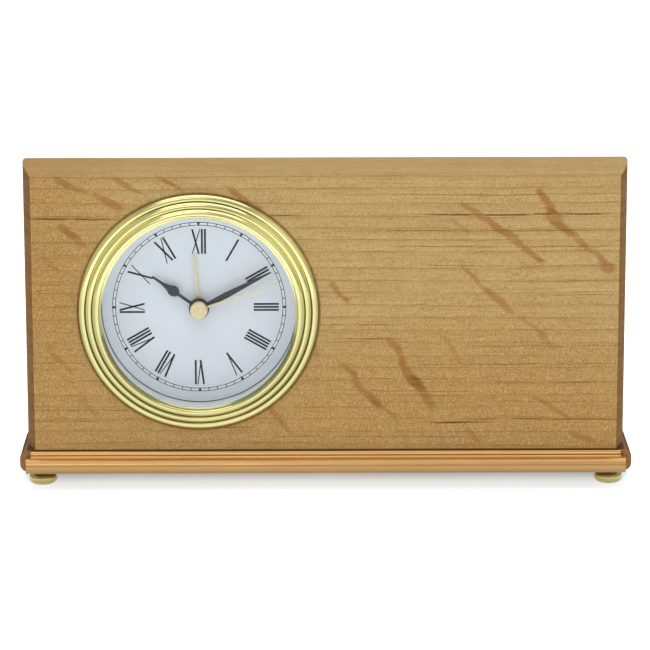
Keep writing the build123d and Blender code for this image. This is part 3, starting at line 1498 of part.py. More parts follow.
# The cover over the cell, with ribs inside that steady the cell and ridges outside for a thumb
with BuildPart() as battery_cover:
    cover_end = BAY_END + COVER_LEDGE - COVER_GAP
    cover_bottom = COVER_GAP - INSIDE
    cover_top = BAY_TOP - COVER_GAP
    add(block(REAR_FRONT, MOVEMENT_BACK, -cover_end, cover_end, cover_bottom, cover_top))
    for side in (-1, 1):
        rib_at = side * CELL_LENGTH / 4
        add(
            block(
                CELL_BACK + COVER_GAP,
                REAR_FRONT,
                rib_at - COVER_RIB_WIDTH / 2,
                rib_at + COVER_RIB_WIDTH / 2,
                CELL_Z - COVER_RIB_HEIGHT / 2,
                CELL_Z + COVER_RIB_HEIGHT / 2,
            )
        )
    for index in range(COVER_GRIP_COUNT):
        ridge_at = COVER_GRIP_PITCH * (index - (COVER_GRIP_COUNT - 1) / 2)
        add(
            block(
                MOVEMENT_BACK,
                MOVEMENT_BACK + COVER_GRIP_HEIGHT,
                ridge_at - COVER_GRIP_PITCH / 4,
                ridge_at + COVER_GRIP_PITCH / 4,
                CELL_Z - COVER_RIB_HEIGHT / 2,
                CELL_Z + COVER_RIB_HEIGHT / 2,
            )
        )
save(battery_cover, "battery_cover")

# The circuit board, its chip and its quartz crystal
with BuildPart() as circuit_board:
    add(
        block(
            BOARD_FRONT,
            BOARD_FRONT + BOARD_THICKNESS,
            BOARD_LEFT,
            BOARD_RIGHT,
            BOARD_BOTTOM,
            BOARD_TOP,
        )
    )
    for place in BOARD_POSTS:
        add(
            disc(
                BOARD_FRONT,
                BOARD_FRONT + BOARD_THICKNESS,
                MOTOR_SCREW_RADIUS + SCREW_FIT,
                at=place,
            ),
            mode=Mode.SUBTRACT,
        )
save(circuit_board, "circuit_board")

BOARD_MIDDLE = ((BOARD_LEFT + BOARD_RIGHT) / 2, (BOARD_BOTTOM + BOARD_TOP) / 2)

with BuildPart() as chip:
    add(disc(BOARD_FRONT - CHIP_HEIGHT, BOARD_FRONT, CHIP_RADIUS, at=BOARD_MIDDLE))
    fillet(chip.edges().sort_by(Axis.Y)[0], CHIP_HEIGHT / 2)
save(chip, "clock_chip")

with BuildPart() as quartz:
    quartz_plane = Plane(
        origin=(
            CLOCK_X + BOARD_RIGHT - BOARD_POST_INSET - QUARTZ_LENGTH,
            PANEL_FRONT_Y + BOARD_FRONT - QUARTZ_RADIUS,
            CLOCK_Z + BOARD_BOTTOM + BOARD_POST_INSET,
        ),
        x_dir=(0, 1, 0),
        z_dir=(1, 0, 0),
    )
    with BuildSketch(quartz_plane):
        Circle(QUARTZ_RADIUS)
    extrude(amount=QUARTZ_LENGTH)
save(quartz, "quartz_crystal")

with BuildPart() as board_screws:
    for place in BOARD_POSTS:
        add(
            flat_head_screw(
                BOARD_FRONT - MOTOR_SCREW_HEAD,
                BOARD_FRONT,
                MOTOR_SCREW_HEAD_RADIUS,
                REAR_FRONT,
                MOTOR_SCREW_RADIUS,
                place,
                False,
            )
        )
save(board_screws, "board_screws")

# The disc that sounds the alarm, on a ledge behind its holes
with BuildPart() as sounder:
    sounder_back = REAR_FRONT - SOUNDER_LEDGE
    add(disc(sounder_back - SOUNDER_THICKNESS, sounder_back, SOUNDER_RADIUS, at=SOUNDER_AT))
save(sounder, "alarm_sounder")

# The slide that switches the alarm on and off
with BuildPart() as alarm_switch:
    plate_back = REAR_FRONT - SWITCH_GAP
    thumb_front = MOVEMENT_BACK + SWITCH_GAP
    thumb_middle = SWITCH_AT[0]
    for front, back, length, height in (
        (
            plate_back - SWITCH_PLATE_THICKNESS,
            plate_back,
            SWITCH_PLATE_LENGTH,
            SWITCH_PLATE_HEIGHT,
        ),
        (plate_back, thumb_front, SWITCH_NECK, SWITCH_NECK_HEIGHT),
        (
            thumb_front,
            thumb_front + SWITCH_THUMB_THICKNESS,
            SWITCH_THUMB_LENGTH,
            SWITCH_THUMB_HEIGHT,
        ),
    ):
        add(
            block(
                front,
                back,
                thumb_middle - length / 2,
                thumb_middle + length / 2,
                SWITCH_AT[1] - height / 2,
                SWITCH_AT[1] + height / 2,
            )
        )
save(alarm_switch, "alarm_switch")
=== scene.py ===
import math

import bmesh
import bpy
from mathutils import Matrix, Vector


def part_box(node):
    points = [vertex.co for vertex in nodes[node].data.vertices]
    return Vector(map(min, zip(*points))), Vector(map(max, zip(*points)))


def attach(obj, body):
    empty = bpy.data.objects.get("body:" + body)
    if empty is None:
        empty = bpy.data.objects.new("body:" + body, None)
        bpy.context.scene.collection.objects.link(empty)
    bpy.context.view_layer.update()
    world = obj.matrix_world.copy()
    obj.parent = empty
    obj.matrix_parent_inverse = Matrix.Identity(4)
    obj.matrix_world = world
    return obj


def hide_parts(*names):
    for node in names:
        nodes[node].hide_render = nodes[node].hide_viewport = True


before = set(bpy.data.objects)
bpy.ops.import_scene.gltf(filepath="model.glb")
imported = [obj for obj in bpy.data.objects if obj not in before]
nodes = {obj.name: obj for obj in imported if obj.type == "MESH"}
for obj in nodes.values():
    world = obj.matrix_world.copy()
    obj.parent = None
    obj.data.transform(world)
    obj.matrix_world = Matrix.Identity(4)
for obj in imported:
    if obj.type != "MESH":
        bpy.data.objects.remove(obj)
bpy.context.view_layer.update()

scene = bpy.context.scene

# Places in the frame. Names that end in X, Y or Z are in metres, and the other sizes in millimetres.
# A depth is measured back from the slab's front face.
MM = 0.001
FRONT_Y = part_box("wood_panel")[0].y
CLOCK_X = -52.6 * MM
CLOCK_Z = 75.6 * MM
BASE_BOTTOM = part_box("base_board")[0].z / MM
BASE_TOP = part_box("wood_panel")[0].z / MM
DIAL_FRONT = (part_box("dial")[0].y - FRONT_Y) / MM
RING_RADIUS = 50.0
RING_GROOVES = (47.0, 44.2, 41.1)


def link(thing):
    scene.collection.objects.link(thing)


# Camera, worked out from the corners of the slab and the ring in the photograph. The photograph's width
# and the focal length are in pixels.
PHOTO_WIDTH = 650.0
FOCAL_LENGTH = 3483.1
SENSOR_WIDTH = 36.0
CAMERA_PLACE = Vector((-5.95, -1420.66, 403.48)) * MM
PITCH = math.radians(13.352)
YAW = math.radians(0.233)
ROLL = math.radians(-0.102)
forward = Vector((math.sin(YAW) * math.cos(PITCH), math.cos(YAW) * math.cos(PITCH), -math.sin(PITCH)))
level = Vector((math.cos(YAW), -math.sin(YAW), 0.0))
upward = level.cross(forward)
right = math.cos(ROLL) * level + math.sin(ROLL) * upward
upward = math.cos(ROLL) * upward - math.sin(ROLL) * level
camera_data = bpy.data.cameras.new("camera")
camera_data.sensor_width = SENSOR_WIDTH
camera_data.lens = FOCAL_LENGTH * SENSOR_WIDTH / PHOTO_WIDTH
camera_data.clip_start = 0.05
camera_data.clip_end = 50.0
camera = bpy.data.objects.new("camera", camera_data)
turn = Matrix((right, upward, -forward)).transposed().to_4x4()
camera.matrix_world = Matrix.Translation(CAMERA_PLACE) @ turn
link(camera)
scene.camera = camera
scene.view_settings.view_transform = "Standard"


class Shader:
    """A small helper that adds nodes to one procedural material."""

    def __init__(self, name):
        self.material = bpy.data.materials.new(name)
        self.material.use_nodes = True
        self.tree = self.material.node_tree
        self.bsdf = self.tree.nodes["Principled BSDF"]
        coordinates = self.tree.nodes.new("ShaderNodeTexCoord")
        self.place = coordinates.outputs["Object"]

    def put(self, socket, value):
        if isinstance(value, bpy.types.NodeSocket):
            self.tree.links.new(value, socket)
        else:
            socket.default_value = value

    def set(self, **values):
        """Sets shader sockets, with underscores for spaces in their names."""
        for name, value in values.items():
            self.put(self.bsdf.inputs[name.replace("_", " ")], value)

    def mapped(self, scale=(1, 1, 1), location=(0, 0, 0), rotation=(0, 0, 0), kind="POINT", place=None):
        node = self.tree.nodes.new("ShaderNodeMapping")
        node.vector_type = kind
        node.inputs["Scale"].default_value = scale
        node.inputs["Location"].default_value = location
        node.inputs["Rotation"].default_value = rotation
        self.put(node.inputs["Vector"], place or self.place)
        return node.outputs["Vector"]

    def noise(self, scale=(1, 1, 1), detail=3.0, rough=0.5, location=(0, 0, 0)):
        node = self.tree.nodes.new("ShaderNodeTexNoise")
        self.put(node.inputs["Vector"], self.mapped(scale, location))
        node.inputs["Scale"].default_value = 1.0
        node.inputs["Detail"].default_value = detail
        node.inputs["Roughness"].default_value = rough
        return node.outputs["Fac"]

    def math(self, operation, first, second=0.0, third=None, clamp=False):
        node = self.tree.nodes.new("ShaderNodeMath")
        node.operation = operation
        node.use_clamp = clamp
        self.put(node.inputs[0], first)
        self.put(node.inputs[1], second)
        if third is not None:
            self.put(node.inputs[2], third)
        return node.outputs[0]

    def times(self, first, second):
        return self.math("MULTIPLY", first, second)

    def sway(self, noise, size, value):
        """The value, moved up to half the size either way by a noise."""
        return self.math("MULTIPLY_ADD", self.math("SUBTRACT", noise, 0.5), size, value)

    def span(self, value, low, high, to_low=0.0, to_high=1.0, smooth=True):
        """Takes a range of values to another range, clamped at its ends."""
        node = self.tree.nodes.new("ShaderNodeMapRange")
        node.interpolation_type = "SMOOTHSTEP" if smooth else "LINEAR"
        node.inputs["From Min"].default_value = low
        node.inputs["From Max"].default_value = high
        node.inputs["To Min"].default_value = to_low
        node.inputs["To Max"].default_value = to_high
        self.put(node.inputs["Value"], value)
        return node.outputs["Result"]

    def mix(self, amount, first, second, blend="MIX"):
        node = self.tree.nodes.new("ShaderNodeMix")
        node.data_type = "RGBA"
        node.blend_type = blend
        self.put(node.inputs[0], amount)
        for socket, value in ((node.inputs[6], first), (node.inputs[7], second)):
            if isinstance(value, tuple):
                value = (*value, 1.0)
            self.put(socket, value)
        return node.outputs[2]

    def axis(self, name):
        node = self.tree.nodes.new("ShaderNodeSeparateXYZ")
        self.put(node.inputs[0], self.place)
        return node.outputs[name]

    def from_axis(self):
        """Distance from the axis of the hands, in metres."""
        across = self.math("SUBTRACT", self.axis("X"), CLOCK_X)
        above = self.math("SUBTRACT", self.axis("Z"), CLOCK_Z)
        squares = self.math("MULTIPLY_ADD", across, across, self.times(above, above))
        return self.math("SQRT", squares)

    def bump(self, height, strength, distance, normal=None):
        node = self.tree.nodes.new("ShaderNodeBump")
        node.inputs["Strength"].default_value = strength
        node.inputs["Distance"].default_value = distance
        self.put(node.inputs["Height"], height)
        if normal is not None:
            self.put(node.inputs["Normal"], normal)
        self.put(self.bsdf.inputs["Normal"], node.outputs["Normal"])


# Soft reddish flecks in the wood: middle (x, z) in millimetres, length, width, tilt, strength
FLECKS = [
    (91.0, 120.6, 17.0, 3.6, 56.0, 0.90),
    (97.0, 112.5, 15.0, 5.0, 50.0, 1.00),
    (105.0, 104.5, 17.0, 3.4, 45.0, 0.80),
    (113.5, 97.0, 15.0, 3.6, 44.0, 0.75),
    (61.0, 117.8, 16.0, 2.4, 34.0, 0.75),
    (72.5, 110.5, 19.0, 3.6, 36.0, 0.85),
    (82.5, 101.8, 18.0, 3.0, 43.0, 0.85),
    (54.0, 112.0, 10.0, 2.2, 40.0, 0.40),
    (62.0, 90.0, 16.0, 2.8, 48.0, 0.60),
    (72.0, 80.5, 18.0, 3.4, 46.0, 0.75),
    (88.0, 66.0, 26.0, 2.8, 44.0, 0.60),
    (30.5, 58.0, 15.0, 3.2, 60.0, 0.90),
    (35.5, 48.0, 18.0, 4.6, 58.0, 1.00),
    (41.0, 38.5, 13.0, 3.2, 52.0, 0.75),
    (10.0, 50.0, 15.0, 3.0, 50.0, 0.75),
    (18.0, 40.5, 18.0, 3.6, 48.0, 0.85),
    (25.0, 33.0, 13.0, 2.8, 46.0, 0.65),
    (94.0, 34.5, 18.0, 2.8, 34.0, 0.70),
    (62.0, 21.8, 13.0, 3.0, 36.0, 0.70),
    (107.0, 21.6, 13.0, 2.6, 20.0, 0.65),
    (5.0, 84.0, 12.0, 2.8, 52.0, 0.75),
    (-104.0, 129.0, 18.0, 2.8, 22.0, 0.75),
    (-90.0, 122.5, 14.0, 3.6, 30.0, 0.85),
    (-79.0, 128.0, 20.0, 2.6, 28.0, 0.75),
    (-64.0, 129.5, 14.0, 2.6, 34.0, 0.75),
    (-33.0, 123.0, 18.0, 3.6, 38.0, 0.85),
    (-104.0, 108.0, 16.0, 3.6, 40.0, 0.80),
    (-113.0, 96.0, 10.0, 2.6, 50.0, 0.50),
    (-110.0, 56.0, 18.0, 2.8, 50.0, 0.60),
    (-100.0, 36.0, 14.0, 2.6, 46.0, 0.45),
    (-20.0, 30.0, 16.0, 2.8, 46.0, 0.60),
    (-7.0, 62.0, 16.0, 2.6, 50.0, 0.50),
    (52.0, 60.0, 18.0, 2.6, 50.0, 0.45),
]

# Dark growth lines: height, left end, right end in millimetres, half thickness, strength
DARK_LINES = [
    (116.4, 42.0, 118.0, 0.50, 0.95),
    (115.4, -122.0, -88.0, 0.50, 0.90),
    (116.0, -24.0, -10.0, 0.42, 0.80),
    (70.0, -2.0, 28.0, 0.34, 0.70),
    (64.0, 2.0, 32.0, 0.34, 0.70),
    (29.5, 60.0, 121.0, 0.40, 0.75),
    (28.3, 44.0, 66.0, 0.55, 0.90),
    (33.4, -122.0, -70.0, 0.34, 0.55),
    (41.8, 4.0, 60.0, 0.32, 0.50),
    (45.0, 70.0, 121.0, 0.32, 0.55),
    (53.2, 40.0, 121.0, 0.32, 0.55),
    (61.0, 60.0, 121.0, 0.30, 0.50),
    (124.9, 10.0, 121.0, 0.34, 0.50),
    (109.6, 20.0, 121.0, 0.34, 0.55),
    (103.0, 30.0, 121.0, 0.34, 0.55),
    (95.2, 40.0, 121.0, 0.30, 0.50),
    (88.6, 80.0, 121.0, 0.30, 0.50),
    (82.8, 84.0, 121.0, 0.30, 0.45),
    (99.0, -122.0, -104.0, 0.30, 0.50),
    (88.0, -122.0, -106.0, 0.30, 0.45),
    (54.0, -122.0, -98.0, 0.30, 0.45),
    (47.0, -4.0, 70.0, 0.30, 0.45),
    (37.0, 20.0, 121.0, 0.28, 0.40),
    (28.6, -122.0, -92.0, 0.40, 0.75),
    (26.0, -66.0, -30.0, 0.36, 0.70),
    (22.0, -30.0, 60.0, 0.30, 0.45),
]

# The flecks run right through the slab, and the dark lines fade over a short way at both ends
FLECK_DEPTH_Y = 1000.0
LINE_FADE = 8.0


def fleck_pattern(s, ripple):
    """Flecks, each a long patch of even width with edges drawn out along the grain."""
    ragged = s.noise((60, 60, 1500), 2.0, 0.6, (0, 0, 5.3))
    wander = s.noise((50, 50, 90), 1.0, 0.5, (0, 0, 1.9))
    drift = s.tree.nodes.new("ShaderNodeCombineXYZ")
    s.put(drift.inputs["X"], s.sway(ragged, 4.0 * MM, s.sway(wander, 9.0 * MM, 0.0)))
    drawn = s.tree.nodes.new("ShaderNodeVectorMath")
    s.put(drawn.inputs[0], s.place)
    s.put(drawn.inputs[1], drift.outputs[0])
    total = 0.0
    for x, z, length, width, tilt, strength in FLECKS:
        local = s.mapped(
            (length / 2 * MM, FLECK_DEPTH_Y, width / 2 * MM),
            (x * MM, 0, z * MM),
            (0, math.radians(tilt), 0),
            "TEXTURE",
            drawn.outputs[0],
        )
        split = s.tree.nodes.new("ShaderNodeSeparateXYZ")
        s.put(split.inputs[0], local)
        along = s.math("POWER", s.math("ABSOLUTE", split.outputs["X"]), 4.0)
        reach = s.math("MULTIPLY_ADD", split.outputs["Z"], split.outputs["Z"], along)
        patch = s.times(s.span(s.sway(ripple, 2.4, reach), 1.25, 0.20), strength)
        total = s.math("MAXIMUM", total, patch)
    return total


def dark_line_pattern(s, height):
    """Long dark lines with soft ends, broken here and there."""
    sideways = s.axis("X")
    total = 0.0
    for z, start, end, half, strength in DARK_LINES:
        off = s.math("ABSOLUTE", s.math("SUBTRACT", height, z * MM))
        thin = s.span(off, half * MM, half * 0.25 * MM)
        from_left = s.span(sideways, (start - LINE_FADE) * MM, (start + LINE_FADE) * MM)
        from_right = s.span(sideways, (end + LINE_FADE) * MM, (end - LINE_FADE) * MM)
        patch = s.times(s.times(thin, s.times(from_left, from_right)), strength)
        total = s.math("MAXIMUM", total, patch)
    gaps = s.span(s.noise((60, 60, 60), 3.0, 0.6, (7, 0, 0)), 0.34, 0.56, 0.25, 1.0)
    return s.times(total, gaps)


def painted_seam_shade(s):
    """Painted shade: a thin dark line where the slab meets the base, and a painted shadow round the ring on
    the front face.
    """
    height = s.axis("Z")
    joint_shade = s.times(
        s.span(height, (BASE_TOP + 0.8) * MM, (BASE_TOP + 0.3) * MM),
        s.span(height, (BASE_TOP - 0.05) * MM, (BASE_TOP - 0.01) * MM),
    )
    rim = s.span(s.from_axis(), (RING_RADIUS + 1.0) * MM, (RING_RADIUS + 0.1) * MM, 0.0, 0.62)
    near = s.span(s.axis("Y"), FRONT_Y + 0.6 * MM, FRONT_Y + 0.3 * MM)
    return s.math("MAXIMUM", s.times(joint_shade, 0.8), s.times(rim, near))


def wood(name, tone):
    """Light hardwood with its grain along X: fibres, pores, growth lines, flecks and darker end grain, with
    painted shade where the slab meets the base and round the ring.
    """
    s = Shader(name)
    bend = s.noise((9, 9, 14), 2.0, 0.5)
    ripple = s.noise((70, 70, 60), 2.0, 0.5)
    height = s.sway(ripple, 0.8 * MM, s.sway(bend, 4.2 * MM, s.axis("Z")))

    fibres = s.noise((60, 1500, 1500), 3.0, 0.6)
    streaks = s.noise((9, 200, 260), 3.0, 0.55)
    blotches = s.noise((11, 14, 16), 2.0, 0.5)
    clouds = s.noise((90, 60, 150), 3.0, 0.6, (4, 0, 0))
    chatter = s.noise((2300, 2300, 1500), 2.0, 0.75)

    # The heart side, below and to the left, is redder and coarser
    low_side = s.span(s.axis("Z"), 92 * MM, 34 * MM, 0.0, 0.75)
    left_side = s.span(s.axis("X"), -70 * MM, -118 * MM, 0.0, 0.85)
    red = s.math("MAXIMUM", low_side, left_side)
    red = s.math("MULTIPLY_ADD", s.math("SUBTRACT", blotches, 0.5), 0.9, red, True)
    coarse = s.math("MULTIPLY_ADD", red, 0.35, 0.55)
    colour = s.mix(red, tone["light"], tone["mid"])
    colour = s.mix(s.times(s.span(streaks, 0.42, 0.72), 0.42), colour, tone["warm"])
    colour = s.mix(s.times(s.span(clouds, 0.45, 0.75), 0.32), colour, tone["warm"])
    colour = s.mix(s.times(s.span(fibres, 0.48, 0.72), 0.42), colour, tone["dark"])
    colour = s.mix(s.times(s.span(chatter, 0.50, 0.68), coarse), colour, tone["dark"])
    colour = s.mix(s.times(s.span(chatter, 0.50, 0.32), 0.66), colour, tone["pale"])

    # Growth lines, unevenly spaced and broken along their length, each with a soft dark side
    spread = s.noise((3, 60, 75), 1.0, 0.5, (0, 0, 3.7))
    saw = s.math("FRACT", s.math("MULTIPLY_ADD", spread, 0.9, s.times(height, 185.0)))
    broken = s.span(s.noise((45, 90, 260), 3.0, 0.6, (5, 0, 0)), 0.36, 0.66)
    growth = s.times(s.times(s.math("POWER", saw, 22.0), broken), 0.88)
    colour = s.mix(s.times(s.math("POWER", saw, 3.0), 0.52), colour, tone["warm"])
    colour = s.mix(growth, colour, tone["line"])

    # Pores: short dark dashes
    dashes = s.span(s.noise((260, 2000, 2000), 1.0, 0.5, (0, 0, 9.1)), 0.67, 0.76)
    where = s.span(s.noise((20, 20, 40), 2.0, 0.5, (2, 0, 0)), 0.40, 0.62)
    pores = s.times(s.times(dashes, where), 0.62)
    colour = s.mix(pores, colour, tone["line"])

    # Flecks, torn by the streaks and darker at the core
    flecks = fleck_pattern(s, ripple)
    torn = s.times(flecks, s.span(streaks, 0.25, 0.6, 0.50, 1.0))
    core = s.times(s.math("POWER", flecks, 2.0), s.span(clouds, 0.50, 0.68, 0.0, 0.55))
    colour = s.mix(s.times(torn, 0.92), colour, tone["fleck"])
    colour = s.mix(core, colour, tone["line"])

    # Dark growth lines, together with the painted shade at the seams
    dark = s.math("MAXIMUM", dark_line_pattern(s, height), painted_seam_shade(s))
    colour = s.mix(dark, colour, tone["dark_line_and_shade"])

    # End grain takes the finish darker
    facing = s.tree.nodes.new("ShaderNodeNewGeometry")
    split = s.tree.nodes.new("ShaderNodeSeparateXYZ")
    s.put(split.inputs[0], facing.outputs["Normal"])
    end = s.span(s.math("ABSOLUTE", split.outputs["X"]), 0.30, 0.60)
    rings = s.span(s.noise((40, 45, 700), 4.0, 0.6), 0.30, 0.70)
    end_colour = s.mix(rings, tone["end_dark"], tone["end_light"])
    end_colour = s.mix(s.times(s.span(chatter, 0.45, 0.70), 0.35), end_colour, tone["end_dark"])
    end_colour = s.mix(s.times(s.math("POWER", saw, 6.0), 0.55), end_colour, tone["line"])
    colour = s.mix(s.times(end, 0.85), colour, end_colour)

    rough = s.math("MAXIMUM", s.span(fibres, 0.3, 0.8, 0.44, 0.58, False), s.times(end, 0.95))
    s.set(Base_Color=colour, Roughness=rough, Specular_IOR_Level=0.12)
    soft = s.tree.nodes.new("ShaderNodeBevel")
    soft.samples = 4
    soft.inputs["Radius"].default_value = 0.35 * MM
    relief = s.math("SUBTRACT", fibres, s.times(s.math("MAXIMUM", pores, dark), 1.5))
    s.bump(relief, 0.22, 0.06 * MM, soft.outputs["Normal"])
    return s.material


def scaled(colour, share):
    return tuple(part * share for part in colour)


def painted_ring_light(s, colour, bright, deep, grooves):
    """Painted shade in the grooves round the axis, painted shade on the outer halves of the beads between
    them, and a painted highlight on the top.
    """
    # Painted shade in each groove
    for groove in grooves:
        away = s.math("ABSOLUTE", s.math("SUBTRACT", s.from_axis(), groove * MM))
        colour = s.mix(s.span(away, 0.36 * MM, 0.05 * MM, 0.0, 0.45), colour, scaled(deep, 0.3))
    # Painted shade on the outer half of each bead, stronger lower down and easing off at the very bottom
    bead = (RING_RADIUS - grooves[-1]) / len(grooves) * MM
    inward = s.math("DIVIDE", s.math("SUBTRACT", RING_RADIUS * MM, s.from_axis()), bead)
    outer_half = s.span(s.math("FRACT", inward), 0.66, 0.36)
    above = s.math("SUBTRACT", s.axis("Z"), CLOCK_Z)
    sides = s.span(above, 26 * MM, -4 * MM, 0.12, 0.85)
    bottom = s.span(above, -44 * MM, -24 * MM, 0.6, 1.0)
    painted_shade = s.times(outer_half, s.times(sides, bottom))
    colour = s.mix(painted_shade, colour, scaled(bright, 0.5))
    # Painted highlight on the upper half of the ring
    upper = s.times(s.span(above, 2 * MM, 22 * MM, 0.0, 0.85), s.span(above, 46 * MM, 36 * MM))
    return s.mix(upper, colour, scaled(bright, 1.55))


def painted_light_by_height(s, colour, levels):
    """Painted highlights and shade that change with height, from a list of heights over the base's underside
    and shares.
    """
    top = levels[-1][0]
    ramp = s.tree.nodes.new("ShaderNodeValToRGB")
    stops = ramp.color_ramp.elements
    for height, _ in levels[1:-1]:
        stops.new(height / top)
    for stop, (_, share) in zip(stops, levels):
        stop.color = (share / 2, share / 2, share / 2, 1.0)
    s.put(ramp.inputs[0], s.span(s.axis("Z"), BASE_BOTTOM * MM, (BASE_BOTTOM + top) * MM, smooth=False))
    half = s.mix(1.0, colour, ramp.outputs["Color"], "MULTIPLY")
    return s.mix(1.0, half, half, "ADD")


def metal(
    name, bright, deep, rough, brush=(160, 160, 160), mottling=0.25, grooves=(), patches=38, levels=()
):
    """Polished or satin metal with slight mottling and the fine marks left by finishing, with painted shade
    and highlights round the ring's grooves or by height where these are given.
    """
    s = Shader(name)
    cloud = s.noise((patches, patches, patches), 3.0, 0.55)
    marks = s.noise(brush, 3.0, 0.6)
    colour = s.mix(s.times(s.span(cloud, 0.35, 0.75), mottling), bright, deep)
    if grooves:
        colour = painted_ring_light(s, colour, bright, deep, grooves)
    if levels:
        colour = painted_light_by_height(s, colour, levels)
    roughness = s.span(marks, 0.3, 0.7, rough * 0.8, rough * 1.25, False)
    s.set(Base_Color=colour, Metallic=1.0, Roughness=roughness)
    s.bump(marks, 0.05, 0.03 * MM)
    return s.material


def plastic(name, colour, shade, rough, grain=2600.0, depth=0.10):
    """Moulded plastic with a fine matte texture and faint shading."""
    s = Shader(name)
    cloud = s.noise((60, 60, 60), 2.0, 0.5)
    texture = s.noise((grain, grain, grain), 2.0, 0.6)
    s.set(
        Base_Color=s.mix(s.span(cloud, 0.3, 0.7), colour, shade),
        Roughness=s.span(texture, 0.3, 0.7, rough * 0.85, rough * 1.15, False),
    )
    s.bump(texture, depth, 0.05 * MM)
    return s.material


def painted(name, colour, shade, rough):
    """Thin paint or print with a slight unevenness."""
    s = Shader(name)
    cloud = s.noise((120, 120, 120), 3.0, 0.5)
    fine = s.noise((5200, 5200, 5200), 1.0, 0.5)
    s.set(
        Base_Color=s.mix(s.span(cloud, 0.3, 0.7), colour, shade),
        Roughness=s.span(fine, 0.3, 0.7, rough * 0.9, rough * 1.1, False),
    )
    s.bump(fine, 0.04, 0.01 * MM)
    return s.material


def banded(name, first, second, pitch, tilt, rough, metallic=0.0):
    """Stripes across a direction tilted about Y, such as wire turns or traces, with a little noise."""
    s = Shader(name)
    wave = s.tree.nodes.new("ShaderNodeTexWave")
    wave.bands_direction = "X"
    s.put(wave.inputs["Vector"], s.mapped((pitch, pitch, pitch), rotation=(0, tilt, 0)))
    wave.inputs["Scale"].default_value = 1.0
    wave.inputs["Distortion"].default_value = 0.4
    cloud = s.noise((400, 400, 400), 2.0, 0.5)
    colour = s.mix(wave.outputs["Fac"], first, second)
    colour = s.mix(s.times(cloud, 0.25), colour, second)
    s.set(Base_Color=colour, Roughness=rough, Metallic=metallic)
    s.bump(wave.outputs["Fac"], 0.3, 0.05 * MM)
    return s.material


WOOD_TONE = {
    "light": (0.462, 0.318, 0.127),
    "mid": (0.372, 0.203, 0.053),
    "pale": (0.585, 0.412, 0.182),
    "warm": (0.355, 0.198, 0.060),
    "dark": (0.245, 0.130, 0.035),
    "line": (0.155, 0.060, 0.010),
    "fleck": (0.285, 0.125, 0.030),
    # Dark growth lines, and the painted shade at the seams
    "dark_line_and_shade": (0.085, 0.032, 0.005),
    "end_dark": (0.125, 0.055, 0.014),
    "end_light": (0.215, 0.105, 0.030),
}
tan_wood = wood("tan_wood", WOOD_TONE)
# The base board takes the same wood, darkened and browned all over as painted shade
base_wood = wood(
    "base_wood", {name: (0.72 * r, 0.62 * g, 0.66 * b) for name, (r, g, b) in WOOD_TONE.items()}
)
# The moulding's painted highlights and shade, as brightness by height over the base's underside
TRIM_PAINTED_LIGHT = [
    (0.0, 0.64),  # underside
    (3.4, 0.86),  # front of the nose
    (4.6, 1.40),  # upper nose
    (5.8, 0.52),  # groove over the nose
    (6.6, 1.85),  # step
    (7.5, 0.90),  # under the bead
    (8.1, 1.40),  # bead
    (9.0, 0.85),  # top
]
rose_gold = metal(
    "rose_gold", (0.480, 0.285, 0.112), (0.415, 0.235, 0.082), 0.31, (30, 2400, 2400), levels=TRIM_PAINTED_LIGHT
)
# The ring's colour carries painted shade and highlights round its grooves
pale_brass = metal(
    "pale_brass", (0.600, 0.555, 0.250), (0.540, 0.480, 0.190), 0.18, (300, 300, 300), 0.25, RING_GROOVES
)
foot_brass = metal("foot_brass", (0.480, 0.400, 0.165), (0.350, 0.270, 0.090), 0.11)
steel = metal("steel", (0.620, 0.620, 0.630), (0.480, 0.480, 0.490), 0.30, (900, 900, 900))
gold_leaf = metal(
    "gold_leaf", (0.780, 0.685, 0.425), (0.460, 0.375, 0.195), 0.44, (3000, 3000, 3000), 0.9, (), 2300
)
thin_brass = metal("thin_brass", (0.780, 0.590, 0.260), (0.640, 0.450, 0.170), 0.30)
sintered = metal("sintered", (0.200, 0.200, 0.210), (0.120, 0.120, 0.130), 0.48, (2600, 2600, 2600))
black_plastic = plastic("black_plastic", (0.016, 0.016, 0.017), (0.022, 0.022, 0.023), 0.46)
white_plastic = plastic("white_plastic", (0.800, 0.840, 0.830), (0.760, 0.800, 0.790), 0.34, 1800.0, 0.04)
cream_plastic = plastic("cream_plastic", (0.720, 0.670, 0.500), (0.660, 0.600, 0.430), 0.40, 1800.0, 0.05)
grip_rubber = plastic("grip_rubber", (0.020, 0.020, 0.020), (0.030, 0.030, 0.030), 0.80, 3200.0, 0.2)
clear_rubber = plastic("clear_rubber", (0.600, 0.600, 0.570), (0.520, 0.520, 0.490), 0.60, 3200.0, 0.1)
epoxy = plastic("epoxy", (0.010, 0.010, 0.011), (0.018, 0.018, 0.019), 0.22, 900.0, 0.05)
dial_paint = painted("dial_paint", (0.742, 0.800, 0.850), (0.728, 0.786, 0.836), 0.50)
track_paint = painted("track_paint", (0.840, 0.865, 0.885), (0.820, 0.845, 0.870), 0.40)
ink = painted("ink", (0.006, 0.006, 0.008), (0.012, 0.012, 0.014), 0.45)
black_paint = painted("black_paint", (0.034, 0.036, 0.040), (0.042, 0.044, 0.048), 0.50)
solder_mask = banded("solder_mask", (0.020, 0.120, 0.045), (0.040, 0.200, 0.080), 900, 0.78, 0.35)
copper_wire = banded(
    "copper_wire", (0.420, 0.140, 0.050), (0.640, 0.270, 0.110), 2400, 1.5708, 0.32, 0.8
)


